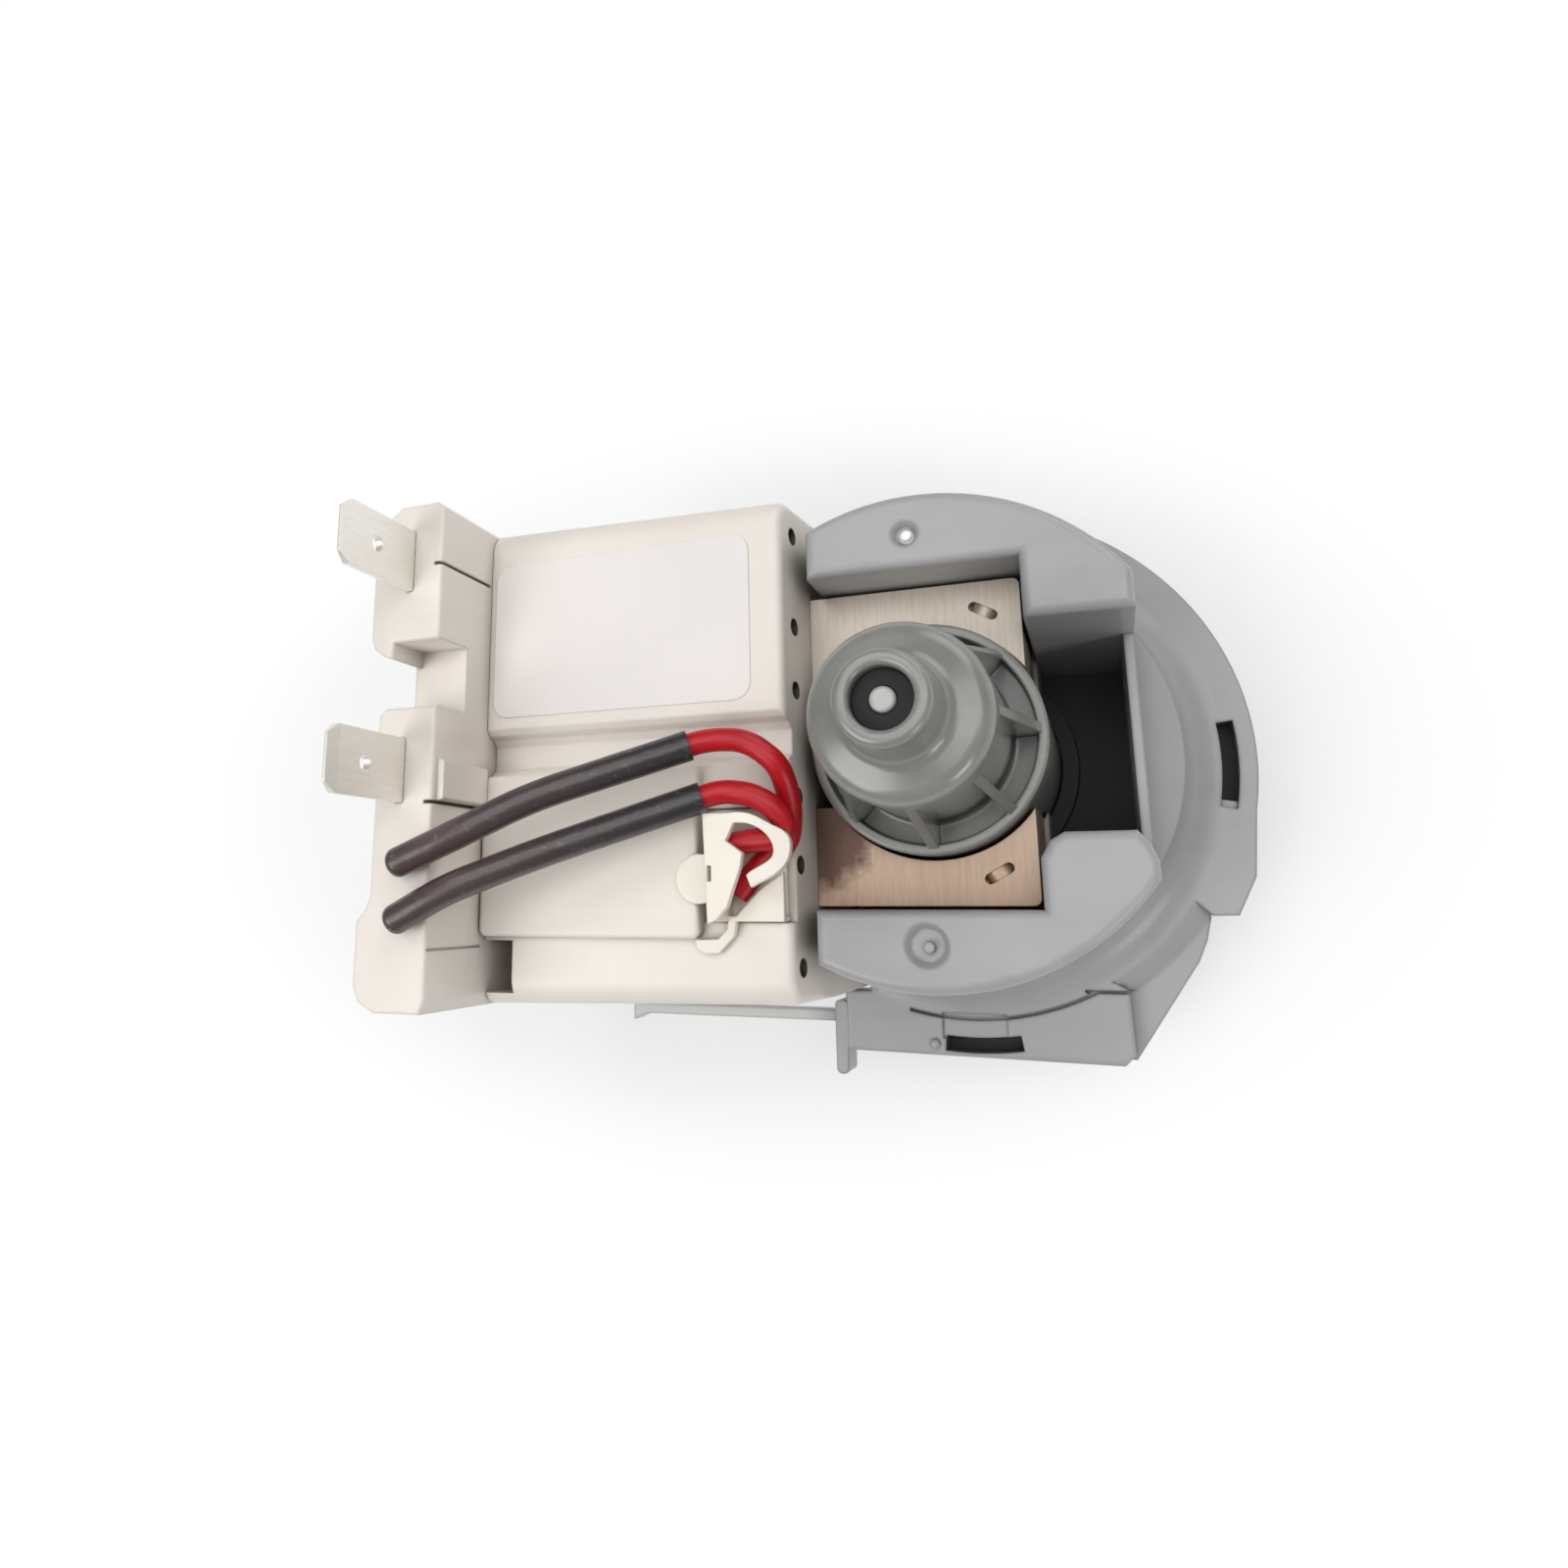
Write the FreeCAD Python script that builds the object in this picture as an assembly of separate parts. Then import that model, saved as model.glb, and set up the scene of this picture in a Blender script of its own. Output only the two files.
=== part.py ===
import FreeCAD, Part
import math
import os

# Dishwasher drain pump: a single-phase synchronous motor with a U-shaped core,
# on a bayonet base that turns into the sump of the machine.
# Millimetres. +Z is the rotor axis, from the sump side to the motor's tail end.
# The origin is on the rotor axis at the rim of the spigot, the lowest point.
# -X points from the rotor to the coils and terminals, +Y is the upper coil.

V = FreeCAD.Vector
UP = V(0, 0, 1)
os.makedirs("parts", exist_ok=True)

# laminated U-core
CORE_TOP = 34.4
CORE_STACK = 14.0
CORE_FLOOR = CORE_TOP - CORE_STACK
CORE_MID = CORE_TOP - CORE_STACK / 2
CORE_HALF_WIDTH = 15.45
LEG_WIDTH = 9.5
LEG_Y = CORE_HALF_WIDTH - LEG_WIDTH / 2
CORE_X_POLE = 9.1
SEAT_GAP = 0.3
CORE_X_BACK = -43.4
YOKE_WIDTH = 9.5
BORE_R = 11.25

# rotor can and the dome that holds the tail bearing
CAN_R = 10.9
CAN_WALL = 0.95
CAN_FLANGE_R = 12.2
CAN_FLANGE_T = 1.4
CAN_RING_Z = 37.7
CAN_RING_W = 1.0
CAN_POCKET_Z = 35.9
CAN_ROOF_T = 1.0
DOME_R = 7.7
DOME_WALL = 1.25
SHOULDER_Z = 52.4
SHOULDER_R = 1.7
NECK_R = 4.15
LIP_R = 3.85
TIP_Z = 59.0
TIP_RING_R = 2.5
TIP_POST_R = 1.05
TIP_POST_DROP = 0.9
TIP_RECESS = 4.2
RIB_COUNT = 8
RIB_TURN = 1.5
RIB_T = 0.9
RIB_TOP_Z = 49.2

# rotor, bearings and seal
SHAFT_R = 1.5
SHAFT_END_Z = 47.0
SHAFT_NOSE_Z = 1.6
RUN_CLEAR = 0.03
MAGNET_R = 9.35
MAGNET_BORE_R = 3.6
MAGNET_Z0 = 19.4
MAGNET_Z1 = 33.0
BUSH_R = 3.6
CUP_CLEAR = 0.05

# base: spigot, plate, bayonet flange and stator frame
SPIGOT_R = 23.0
SPIGOT_BORE_R = 19.6
SPIGOT_H = 9.0
GROOVE_Z = 6.6
GROOVE_W = 2.9
GROOVE_R = 21.3
SEAL_SECTION_R = 1.2
PLATE_R = 26.0
BOSS_R = 12.8
BOSS_TOP = 13.0
CLAW_DROP = 4.6
CLAW_T = 1.2
CLAW_LIP = 1.0
FLANGE_R = 29.9
FLANGE_Z0 = 11.4
FLANGE_Z1 = 14.4
FRAME_R = 23.0
FRAME_TOP = 40.9
FRAME_EDGE_R = 0.9
FRAME_X_LEFT = -10.2
CHORD_X = 18.8
CHORD_WALL_T = 0.9
CHORD_TOP = 30.4
POCKET_X = 9.55
COVE_R = 4.4
COLLAR_WALL = 2.1
WEB_Z = 12.4
RAMP_RUN = 2.0
STEP_W = 0.35
STEP_DEEP = 0.6

# coil casing and terminal wall
CASE_X0 = -45.0
CASE_X1 = -11.4
CASE_BOTTOM = 13.0
CASE_TOP = 41.9
CASE_HALF_LEFT = 25.2
CASE_TAPER = 0.9
CASE_HALF_RIGHT = CASE_HALF_LEFT - CASE_TAPER
CASE_STEP = 0.8
CASE_SIDE_R = 2.6
CASE_FACE_R = 0.9
FIT_GAP = 0.08
WALL_TOP = 51.4
WALL_BOTTOM = 24.0
WALL_X0 = -53.3
NOTCH_Y0 = 4.0
NOTCH_Y1 = 10.9
NOTCH_DEPTH = 5.2
SLIT = 0.35
TENON_UPPER_Y = 18.0
TENON_LOWER_Y = -9.0
TENON_W = 5.0
TENON_Z = 31.0
TENON_DEPTH = 1.2
VALLEY_HALF = 1.7
PAD_H = 0.7
PAD_Y0 = -18.4
PAD_Y1 = -2.1
TRAY_X0 = -20.85
TRAY_Y0 = -16.9
TRAY_Y1 = -6.2
TRAY_Z = 39.9
BAND_Z = 45.2
BAND_T = 0.8
LID_Z = 41.6
TAB_X = -48.4
TAB_T = 0.8
TAB_CLEAR = 0.03
TAB_W = 6.3
TAB_TIP_Z = 62.4
TAB_ROOT_Z = 45.0
TAB_HOLE_R = 0.8
TAB_HOLE_Z = 57.3
UPPER_TAB_Y = 19.25
LOWER_TAB_Y = -2.25

# coils
COIL_X0 = -33.4
COIL_X1 = -13.3
BOBBIN_WALL = 0.9
BOBBIN_FLANGE_T = 1.0
BOBBIN_HALF_Y = 10.2
BOBBIN_HALF_Z = 11.8
COIL_HALF_Y = 9.6
COIL_HALF_Z = 11.2

# leads
LEAD_R = 1.1
SLEEVE_R = 1.45
SLEEVE_BORE_R = 1.13

# impeller
IMPELLER_R = 18.4
IMPELLER_Z0 = 0.9
IMPELLER_Z1 = 6.7
HUB_R = 6.4
VANE_COUNT = 6
VANE_T = 1.5
DOG_R = 4.6
DOG_HUB_R = 2.4
DOG_ANGLE = 70.0


def box(x0, x1, y0, y1, z0, z1):
    return Part.makeBox(x1 - x0, y1 - y0, z1 - z0, V(x0, y0, z0))


def disc(radius, z0, z1, x=0.0, y=0.0):
    return Part.makeCylinder(radius, z1 - z0, V(x, y, z0), UP)


def tube(outer, inner, z0, z1, x=0.0, y=0.0):
    return disc(outer, z0, z1, x, y).cut(disc(inner, z0 - 1, z1 + 1, x, y))


def prism(points, z0, z1):
    corners = [V(x, y, z0) for x, y in points]
    wire = Part.makePolygon(corners + corners[:1])
    return Part.Face(wire).extrude(V(0, 0, z1 - z0))


def sector(radius, start, sweep, z0, z1):
    piece = Part.makeCylinder(radius, z1 - z0, V(0, 0, z0), UP, sweep)
    piece.rotate(V(0, 0, 0), UP, start)
    return piece


def revolve(points):
    corners = [V(r, 0, z) for r, z in points]
    wire = Part.makePolygon(corners + corners[:1])
    return Part.Face(wire).revolve(V(0, 0, 0), UP, 360)


def rounded(shape, radius, pick):
    edges = [edge for edge in shape.Edges if pick(edge)]
    return shape.makeFillet(radius, edges)


def upright(edge):
    box_of = edge.BoundBox
    return box_of.ZLength > 0.5 and box_of.XLength < 0.01 and box_of.YLength < 0.01


def level_at(z):
    def pick(edge):
        box_of = edge.BoundBox
        return abs(box_of.ZMin - z) < 0.01 and abs(box_of.ZMax - z) < 0.01
    return pick


def outer_circle(least):
    def pick(edge):
        return edge.Curve.TypeId == "Part::GeomCircle" and edge.Curve.Radius > least
    return pick


def circle_at(radius, z):
    def pick(edge):
        curve = edge.Curve
        ring = curve.TypeId == "Part::GeomCircle" and abs(curve.Radius - radius) < 0.01
        return ring and abs(curve.Center.z - z) < 0.01
    return pick


def rounded_block(x0, x1, y0, y1, z0, z1, radius):
    return rounded(box(x0, x1, y0, y1, z0, z1), radius, upright)


def export(name, shape):
    if shape.ShapeType == "Compound" and len(shape.Solids) == 1:
        shape = shape.Solids[0]
    print(name, "solids", len(shape.Solids), "valid", shape.isValid(), "mm3", round(shape.Volume, 1))
    shape.exportStep("parts/" + name + ".step")


def spigot():
    # round neck that enters the sump, with the groove for its ring seal
    neck = tube(SPIGOT_R, SPIGOT_BORE_R, 0, SPIGOT_H)
    groove = tube(SPIGOT_R + 1, GROOVE_R, GROOVE_Z - GROOVE_W / 2, GROOVE_Z + GROOVE_W / 2)
    return neck.cut(groove)


def claws():
    # bayonet claws of the base, each under its window in the flange
    low_end = SPIGOT_H - CLAW_DROP
    parts = []
    for start, sweep, outer in ((-11.4, 19.6, 29.4), (-96.8, 17.6, 31.2)):
        arm = sector(outer, start, sweep, SPIGOT_H, FLANGE_Z0 - 0.1).cut(disc(PLATE_R - 1, 0, 50))
        skirt = sector(outer, start, sweep, low_end, FLANGE_Z0 - 0.1).cut(disc(outer - CLAW_T, 0, 50))
        lip = sector(outer, start, sweep, low_end, low_end + CLAW_LIP).cut(disc(outer - 2.8, 0, 50))
        parts += [arm, skirt, lip]
    return parts


def sump_base():
    # dark base on the wet side: plate, spigot and claws; the rotor can is clamped from below
    plate = disc(PLATE_R, SPIGOT_H, FLANGE_Z0)
    boss = disc(BOSS_R, SPIGOT_H, BOSS_TOP)
    shape = plate.fuse([spigot(), boss] + claws())
    bore = disc(CAN_R + 0.15, 0, 30)
    seat = disc(CAN_FLANGE_R + 0.1, SPIGOT_H - 1, SPIGOT_H + CAN_FLANGE_T + 0.1)
    return shape.cut(bore).cut(seat).removeSplitter()


def flange():
    # bayonet flange: a round lobe to the right and above, a straight lobe below
    lobe = disc(FLANGE_R, FLANGE_Z0, FLANGE_Z1)
    lobe = lobe.cut(box(-40, FRAME_X_LEFT, -40, 40, 0, 50))
    lobe = lobe.cut(prism([(0, 0), (45, -27.5), (45, -45), (0, -45)], 0, 50))
    grip = prism([(21.0, -10.0), (29.3, -6.0), (28.6, -12.6), (26.7, -16.45), (24.4, -16.5), (22.4, -14.6)],
                 FLANGE_Z0, FLANGE_Z1)
    foot = prism([(-13.9, -24.7), (-13.9, -31.3), (14.9, -31.6), (16.0, -30.5), (15.9, -24.1), (9, -20),
                  (-11.0, -20), (-11.0, -24.7)], FLANGE_Z0, FLANGE_Z1)
    foot = rounded(foot, 0.4, level_at(FLANGE_Z1))
    web = prism([(20.0, -12.9), (24.3, -16.6), (23.7, -19.0), (22.8, -21.1), (16.1, -31.1), (14.0, -31.1),
                 (12.0, -20.0)], FLANGE_Z0, WEB_Z)
    return lobe.fuse([grip, foot, web, ramp()])


def ramp():
    # the flange's edge between its two lobes slopes down to the thin web
    top_r = FRAME_R - 0.1 + COVE_R
    slope = Part.makeCone(top_r + RAMP_RUN, top_r, FLANGE_Z1 - WEB_Z, V(0, 0, WEB_Z), UP)
    return slope.common(sector(40, -58, 27, 0, 50)).cut(box(-40, 40, -40, -24.1, 0, 50))


def bayonet_windows():
    # slots over the bayonet claws, one to the right and one below
    half = 8.6
    side = sector(28.2, -1.6 - half, 2 * half, FLANGE_Z0 - 1, FLANGE_Z1 + 1)
    side = side.cut(disc(26.6, 0, 50))
    side_step = sector(28.2, -1.6 - half - 1.6, 2.0, FLANGE_Z1 - 0.5, FLANGE_Z1 + 1).cut(disc(26.6, 0, 50))
    low = sector(31.0, -88.0 - 7.6, 15.2, FLANGE_Z0 - 1, FLANGE_Z1 + 1)
    low = low.cut(disc(29.4, 0, 50))
    return [side, side_step, low]


def foot_lines():
    # step that parts the straight lobe from the collar, and the shallow track up to its slot
    inner = FRAME_R - 0.1 + COVE_R
    arc = sector(inner + STEP_W, -104, 50, FLANGE_Z1 - STEP_DEEP, FLANGE_Z1 + 1).cut(disc(inner, 0, 50))
    arc = arc.common(box(-40, 40, -40, -24.1, 0, 50))
    edge = box(11.6, 16.5, -24.1 - STEP_W, -24.1, FLANGE_Z1 - STEP_DEEP, FLANGE_Z1 + 1)
    track = box(-3.2, 3.6, -29.6, -inner + 0.4, FLANGE_Z1 - 0.3, FLANGE_Z1 + 1)
    return [arc, edge, track]


def collar():
    # coved collar from the flange up to the ledge, hollow below the poles and open to the left
    wall_r = FRAME_R - 0.1
    foot_r = wall_r + COVE_R
    bend = V(foot_r, 0, FLANGE_Z1 + COVE_R)
    low = V(foot_r, 0, FLANGE_Z1)
    high = V(wall_r, 0, FLANGE_Z1 + COVE_R)
    middle = bend - V(COVE_R * math.sqrt(0.5), 0, COVE_R * math.sqrt(0.5))
    runs = Part.makePolygon([high, V(wall_r, 0, CORE_FLOOR), V(0, 0, CORE_FLOOR), V(0, 0, FLANGE_Z0),
                             V(foot_r, 0, FLANGE_Z0), low])
    profile = Part.Wire(runs.Edges + [Part.Arc(low, middle, high).toShape()])
    body = Part.Face(profile).revolve(V(0, 0, 0), UP, 360)
    roof = CORE_FLOOR - 1.8
    depth = roof - FLANGE_Z0 + 1
    hollow = Part.makeCone(wall_r + 0.6, wall_r - COLLAR_WALL, depth, V(0, 0, FLANGE_Z0 - 1), UP)
    walls = box(POCKET_X - 1.2, CHORD_X + 1.0, -10.4, 11.1, 0, 50)
    pocket = box(POCKET_X, CHORD_X - CHORD_WALL_T, -9.2, 9.9, 0, 50)
    posts = sector(FRAME_R, 52, 76, 0, roof + 0.5).fuse(sector(FRAME_R, -128, 76, 0, roof + 0.5))
    posts = posts.cut(disc(17.5, 0, 50)).cut(disc(FRAME_R - 2.6, 0, 50).common(box(-8, 8, -30, 30, 0, 50)))
    body = body.cut(hollow.cut(walls).cut(posts)).cut(pocket)
    body = body.cut(disc(BOSS_R + 0.3, 0, BOSS_TOP + 0.3)).cut(disc(CAN_R + 0.35, 0, 50))
    return body.cut(box(-40, FRAME_X_LEFT, -40, 40, 0, 50))


def stator_frame():
    # C-shaped frame around the poles, closed on the right by a low chord wall
    body = disc(FRAME_R, CORE_FLOOR - 0.5, FRAME_TOP)
    body = body.common(box(FRAME_X_LEFT, CHORD_X, -30, 30, 0, 60))
    half = CORE_HALF_WIDTH + SEAT_GAP
    seat = box(-20, POCKET_X, -half, half, CORE_FLOOR, 60)
    pocket = box(POCKET_X - 1, CHORD_X - CHORD_WALL_T, -9.2, 9.9, CORE_FLOOR - 1, 60)
    above_chord = box(POCKET_X - 1, 30, -9.2, 9.9, CHORD_TOP, 60)
    round_lower = prism([(POCKET_X - 1, -11.8), (9.55, -11.4), (10.4, -9.9), (11.6, -9.2), (11.6, -8),
                         (POCKET_X - 1, -8)], CORE_FLOOR, 60)
    corner = prism([(17.3, -9.2), (18.2, -10.3), (18.8, -11.8), (20, -11.8), (20, -9.1)], CHORD_TOP, 60)
    body = body.cut(seat.fuse([pocket, above_chord, round_lower, corner]))
    return rounded(body, FRAME_EDGE_R, level_at(FRAME_TOP))


def frame_marks():
    # small moulded dishes in the two arms of the frame, each with the nib of its gate
    marks = []
    for x, y, radius, deep in ((-0.5, 19.0, 1.35, 0.7), (-0.3, -18.8, 2.0, 0.8)):
        dish = Part.makeCone(radius - deep * 0.7, radius, deep, V(x, y, FRAME_TOP - deep), UP)
        nib = disc(0.5, FRAME_TOP - deep - 0.1, FRAME_TOP - 0.15, x + 0.15, y - 0.15)
        marks.append(dish.cut(nib))
    return marks


def locking_arm():
    # springy arm along the coil side, with the upright stop rib at its root
    rib = rounded_block(-15.1, -13.7, -33.9, -25.9, 10.4, FLANGE_Z1, 0.6)
    arm = box(-40.5, -14.4, -28.3, -27.1, 11.0, 13.6)
    catch = prism([(-40.5, -27.2), (-40.5, -29.1), (-38.6, -28.2), (-38.6, -27.2)], 11.0, 13.6)
    nub = disc(0.55, FLANGE_Z1 - 0.5, FLANGE_Z1 + 0.45, -4.1, -30.2)
    return [rib, arm, catch, rounded(nub, 0.3, level_at(FLANGE_Z1 + 0.45))]


def pump_housing():
    shape = flange().cut(disc(FRAME_R - 0.1, 0, 50))
    shape = shape.fuse([collar(), stator_frame()] + locking_arm())
    shape = shape.cut(disc(CAN_R + 0.35, 0, 30))
    for cut in bayonet_windows() + foot_lines() + frame_marks():
        shape = shape.cut(cut)
    return shape.removeSplitter()


def can_shell():
    # thin can, domed tail with a rounded shoulder, neck and lip; turned about the axis, then rounded
    inner = CAN_R - CAN_WALL
    roof_in = CAN_POCKET_Z - CAN_ROOF_T
    dome_in = DOME_R - DOME_WALL
    flange_top = SPIGOT_H + CAN_FLANGE_T
    neck_z = SHOULDER_Z + 0.9
    post_z = TIP_Z - TIP_POST_DROP
    shell = revolve([
        (inner, SPIGOT_H), (CAN_FLANGE_R, SPIGOT_H), (CAN_FLANGE_R, flange_top), (CAN_R, flange_top),
        (CAN_R, CAN_RING_Z), (CAN_R - CAN_RING_W, CAN_RING_Z), (CAN_R - CAN_RING_W, CAN_POCKET_Z),
        (DOME_R, CAN_POCKET_Z), (DOME_R, SHOULDER_Z), (NECK_R, neck_z), (LIP_R, TIP_Z), (TIP_RING_R, TIP_Z),
        (TIP_RING_R, TIP_Z - TIP_RECESS), (TIP_POST_R, TIP_Z - TIP_RECESS), (TIP_POST_R, post_z), (0, post_z),
        (0, SHOULDER_Z + 0.2), (2.6, SHOULDER_Z + 0.2), (dome_in - 0.6, SHOULDER_Z - 2.2),
        (dome_in, SHOULDER_Z - 2.8), (dome_in, roof_in), (inner, roof_in),
    ])
    corners = ((CAN_R, CAN_RING_Z, 0.35), (CAN_R - CAN_RING_W, CAN_RING_Z, 0.2), (DOME_R, CAN_POCKET_Z, 0.5),
               (DOME_R, SHOULDER_Z, SHOULDER_R), (NECK_R, neck_z, 1.4), (LIP_R, TIP_Z, 0.65),
               (TIP_RING_R, TIP_Z, 0.5), (TIP_POST_R, post_z, 0.35))
    for radius, z, soft in corners:
        shell = rounded(shell, soft, circle_at(radius, z))
    return shell


def rotor_can():
    # the shell and the gusset ribs between its ring and its dome
    foot = CAN_POCKET_Z - 0.3
    gusset = Part.Face(Part.makePolygon([
        V(DOME_R - 0.5, 0, foot), V(CAN_R - 0.6, 0, foot), V(CAN_R - 0.6, 0, CAN_RING_Z - 0.1),
        V(DOME_R - 0.05, 0, RIB_TOP_Z), V(DOME_R - 0.5, 0, RIB_TOP_Z), V(DOME_R - 0.5, 0, foot),
    ]))
    rib = gusset.extrude(V(0, RIB_T, 0))
    rib.translate(V(0, -RIB_T / 2, 0))
    ribs = []
    for index in range(RIB_COUNT):
        one = rib.copy()
        one.rotate(V(0, 0, 0), UP, RIB_TURN + index * 360.0 / RIB_COUNT)
        ribs.append(one)
    return can_shell().fuse(ribs)


def tip_ring():
    return tube(TIP_RING_R - 0.05, TIP_POST_R + 0.05, TIP_Z - TIP_RECESS, TIP_Z - TIP_POST_DROP - 0.4)


def rear_bearing():
    bush = tube(BUSH_R, SHAFT_R + RUN_CLEAR, 38.6, 45.2)
    return rounded(bush, 0.4, outer_circle(BUSH_R - 0.1))


def rear_bearing_cup():
    # rubber cup that lets the tail bearing find its own line
    outer = DOME_R - DOME_WALL - CUP_CLEAR
    cup = tube(outer, BUSH_R + 0.02, 37.4, 45.2)
    cap = tube(outer, 2.2, 45.2, 46.4)
    shape = cup.fuse(cap)
    for index in range(6):
        flute = disc(0.9, 37.0, 44.0, 5.9, 0)
        flute.rotate(V(0, 0, 0), UP, 60 * index)
        shape = shape.cut(flute)
    return shape


def rotor_magnet():
    ring = tube(MAGNET_R, MAGNET_BORE_R, MAGNET_Z0, MAGNET_Z1)
    return rounded(ring, 0.5, outer_circle(MAGNET_BORE_R + 1))


def rotor_hub():
    # plastic core that joins the magnet to the shaft
    core = tube(MAGNET_BORE_R - 0.01, SHAFT_R, MAGNET_Z0, MAGNET_Z1)
    low = tube(6.0, SHAFT_R, MAGNET_Z0 - 0.9, MAGNET_Z0 - 0.02)
    high = tube(6.0, SHAFT_R, MAGNET_Z1 + 0.02, MAGNET_Z1 + 0.9)
    neck_low = tube(MAGNET_BORE_R - 0.3, SHAFT_R, MAGNET_Z0 - 0.1, MAGNET_Z0 + 0.1)
    neck_high = tube(MAGNET_BORE_R - 0.3, SHAFT_R, MAGNET_Z1 - 0.1, MAGNET_Z1 + 0.1)
    return core.fuse([low, high, neck_low, neck_high])


def rotor_shaft():
    rod = disc(SHAFT_R, SHAFT_NOSE_Z, SHAFT_END_Z)
    return rod.makeChamfer(0.25, [edge for edge in rod.Edges if edge.Curve.TypeId == "Part::GeomCircle"])


def bearing_plate():
    # cover of the can's mouth; its sleeve carries the front bearing and the seal
    cover = tube(15.2, 4.3, 7.4, SPIGOT_H - 0.1)
    sleeve = tube(6.1, 4.3, SPIGOT_H - 0.2, 17.4)
    step = tube(CAN_R - CAN_WALL - 0.08, 5.5, SPIGOT_H - 0.2, 11.6)
    spokes = []
    for index in range(6):
        spoke = box(5.5, 9.6, -0.6, 0.6, SPIGOT_H - 0.2, 10.8)
        spoke.rotate(V(0, 0, 0), UP, 60 * index)
        spokes.append(spoke)
    drain = tube(8.8, 6.6, SPIGOT_H, 12.0)
    shape = cover.fuse([sleeve, step.cut(drain)] + spokes)
    return shape


def front_bearing():
    bush = tube(4.25, SHAFT_R + RUN_CLEAR, 10.6, 17.0)
    return rounded(bush, 0.35, outer_circle(SHAFT_R + 1))


def shaft_seal():
    # ring seal between the chamber and the front bearing
    body = tube(4.25, 2.6, 7.5, 10.3)
    lip = tube(2.8, SHAFT_R + RUN_CLEAR, 7.5, 8.3)
    web = tube(4.0, 2.0, 7.5, 8.3)
    return body.fuse([lip, web])


def thrust_washer():
    return tube(4.0, SHAFT_R + 0.08, 17.45, 18.35)


def sump_seal():
    return Part.makeTorus(GROOVE_R + SEAL_SECTION_R + 0.02, SEAL_SECTION_R, V(0, 0, GROOVE_Z), UP)


def impeller():
    # open impeller: back disc, hub with the clutch chamber, straight vanes for either direction
    back = disc(IMPELLER_R, IMPELLER_Z1 - 1.2, IMPELLER_Z1)
    hub = disc(HUB_R, IMPELLER_Z0, IMPELLER_Z1)
    vanes = []
    for index in range(VANE_COUNT):
        vane = box(HUB_R - 1, IMPELLER_R, -VANE_T / 2, VANE_T / 2, IMPELLER_Z0, IMPELLER_Z1 - 0.6)
        vane.rotate(V(0, 0, 0), UP, index * 360.0 / VANE_COUNT)
        vanes.append(vane)
    shape = back.fuse([hub] + vanes)
    chamber = disc(DOG_R + 0.25, IMPELLER_Z0 - 0.1, 4.9).cut(stop_wedge())
    bore = disc(SHAFT_R + RUN_CLEAR, 0, 20)
    cap_seat = disc(5.45, IMPELLER_Z0 - 0.1, IMPELLER_Z0 + 1.1)
    return shape.cut(chamber).cut(bore).cut(cap_seat)


def stop_wedge():
    # the part of the hub the dog runs against at each end of its free travel
    wedge = sector(DOG_R + 1, 180 - DOG_ANGLE / 2, DOG_ANGLE, 0, 20)
    return wedge.cut(disc(DOG_HUB_R + 0.15, -1, 21))


def drive_dog():
    # wedge on the shaft's nose that drives the impeller after its free travel
    ring = tube(DOG_HUB_R, SHAFT_R, 2.3, 4.7)
    wedge = sector(DOG_R, -DOG_ANGLE / 2, DOG_ANGLE, 2.3, 4.7).cut(disc(SHAFT_R, 0, 20))
    return ring.fuse(wedge)


def impeller_cap():
    cap = disc(5.4, IMPELLER_Z0, IMPELLER_Z0 + 1.05)
    dimple = disc(SHAFT_R + 0.3, IMPELLER_Z0 + 0.55, IMPELLER_Z0 + 2)
    return cap.cut(dimple)


def outer_corner(edge):
    return upright(edge) and abs(abs(edge.BoundBox.YMin) - CORE_HALF_WIDTH) < 0.01


def stator_core():
    # U-shaped stack of interlocked sheets; the poles are bored for the can
    whole = box(CORE_X_BACK, CORE_X_POLE, -CORE_HALF_WIDTH, CORE_HALF_WIDTH, CORE_FLOOR, CORE_TOP)
    inner = CORE_HALF_WIDTH - LEG_WIDTH
    window = box(CORE_X_BACK + YOKE_WIDTH, 30, -inner, inner, 0, 60)
    shape = whole.cut(window).cut(disc(BORE_R, 0, 60))
    shape = rounded(shape, 0.7, outer_corner)
    for side in (1, -1):
        mark = interlock_mark()
        mark.rotate(V(0, 0, 0), UP, -30.0 * side)
        mark.translate(V(5.6, side * 12.5, 0))
        shape = shape.cut(mark)
    return shape


def interlock_mark():
    # oblong dent of the punch that locks the sheets together, deepest at its two ends
    half = 1.45
    width = 0.95
    slot = rounded_block(-half, half, -width / 2, width / 2, CORE_TOP - 1.2, CORE_TOP + 1, width / 2 - 0.01)
    bend = 1.35
    arch = Part.makeCylinder(bend, 2, V(0, -1, CORE_TOP - 0.04 - bend), V(0, 1, 0))
    return slot.cut(arch)


def leg_tube(y, half_y, half_z, x0, x1, radius):
    block = box(x0, x1, y - half_y, y + half_y, CORE_MID - half_z, CORE_MID + half_z)
    along = [edge for edge in block.Edges if edge.BoundBox.XLength > 0.5]
    return block.makeFillet(radius, along)


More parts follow.
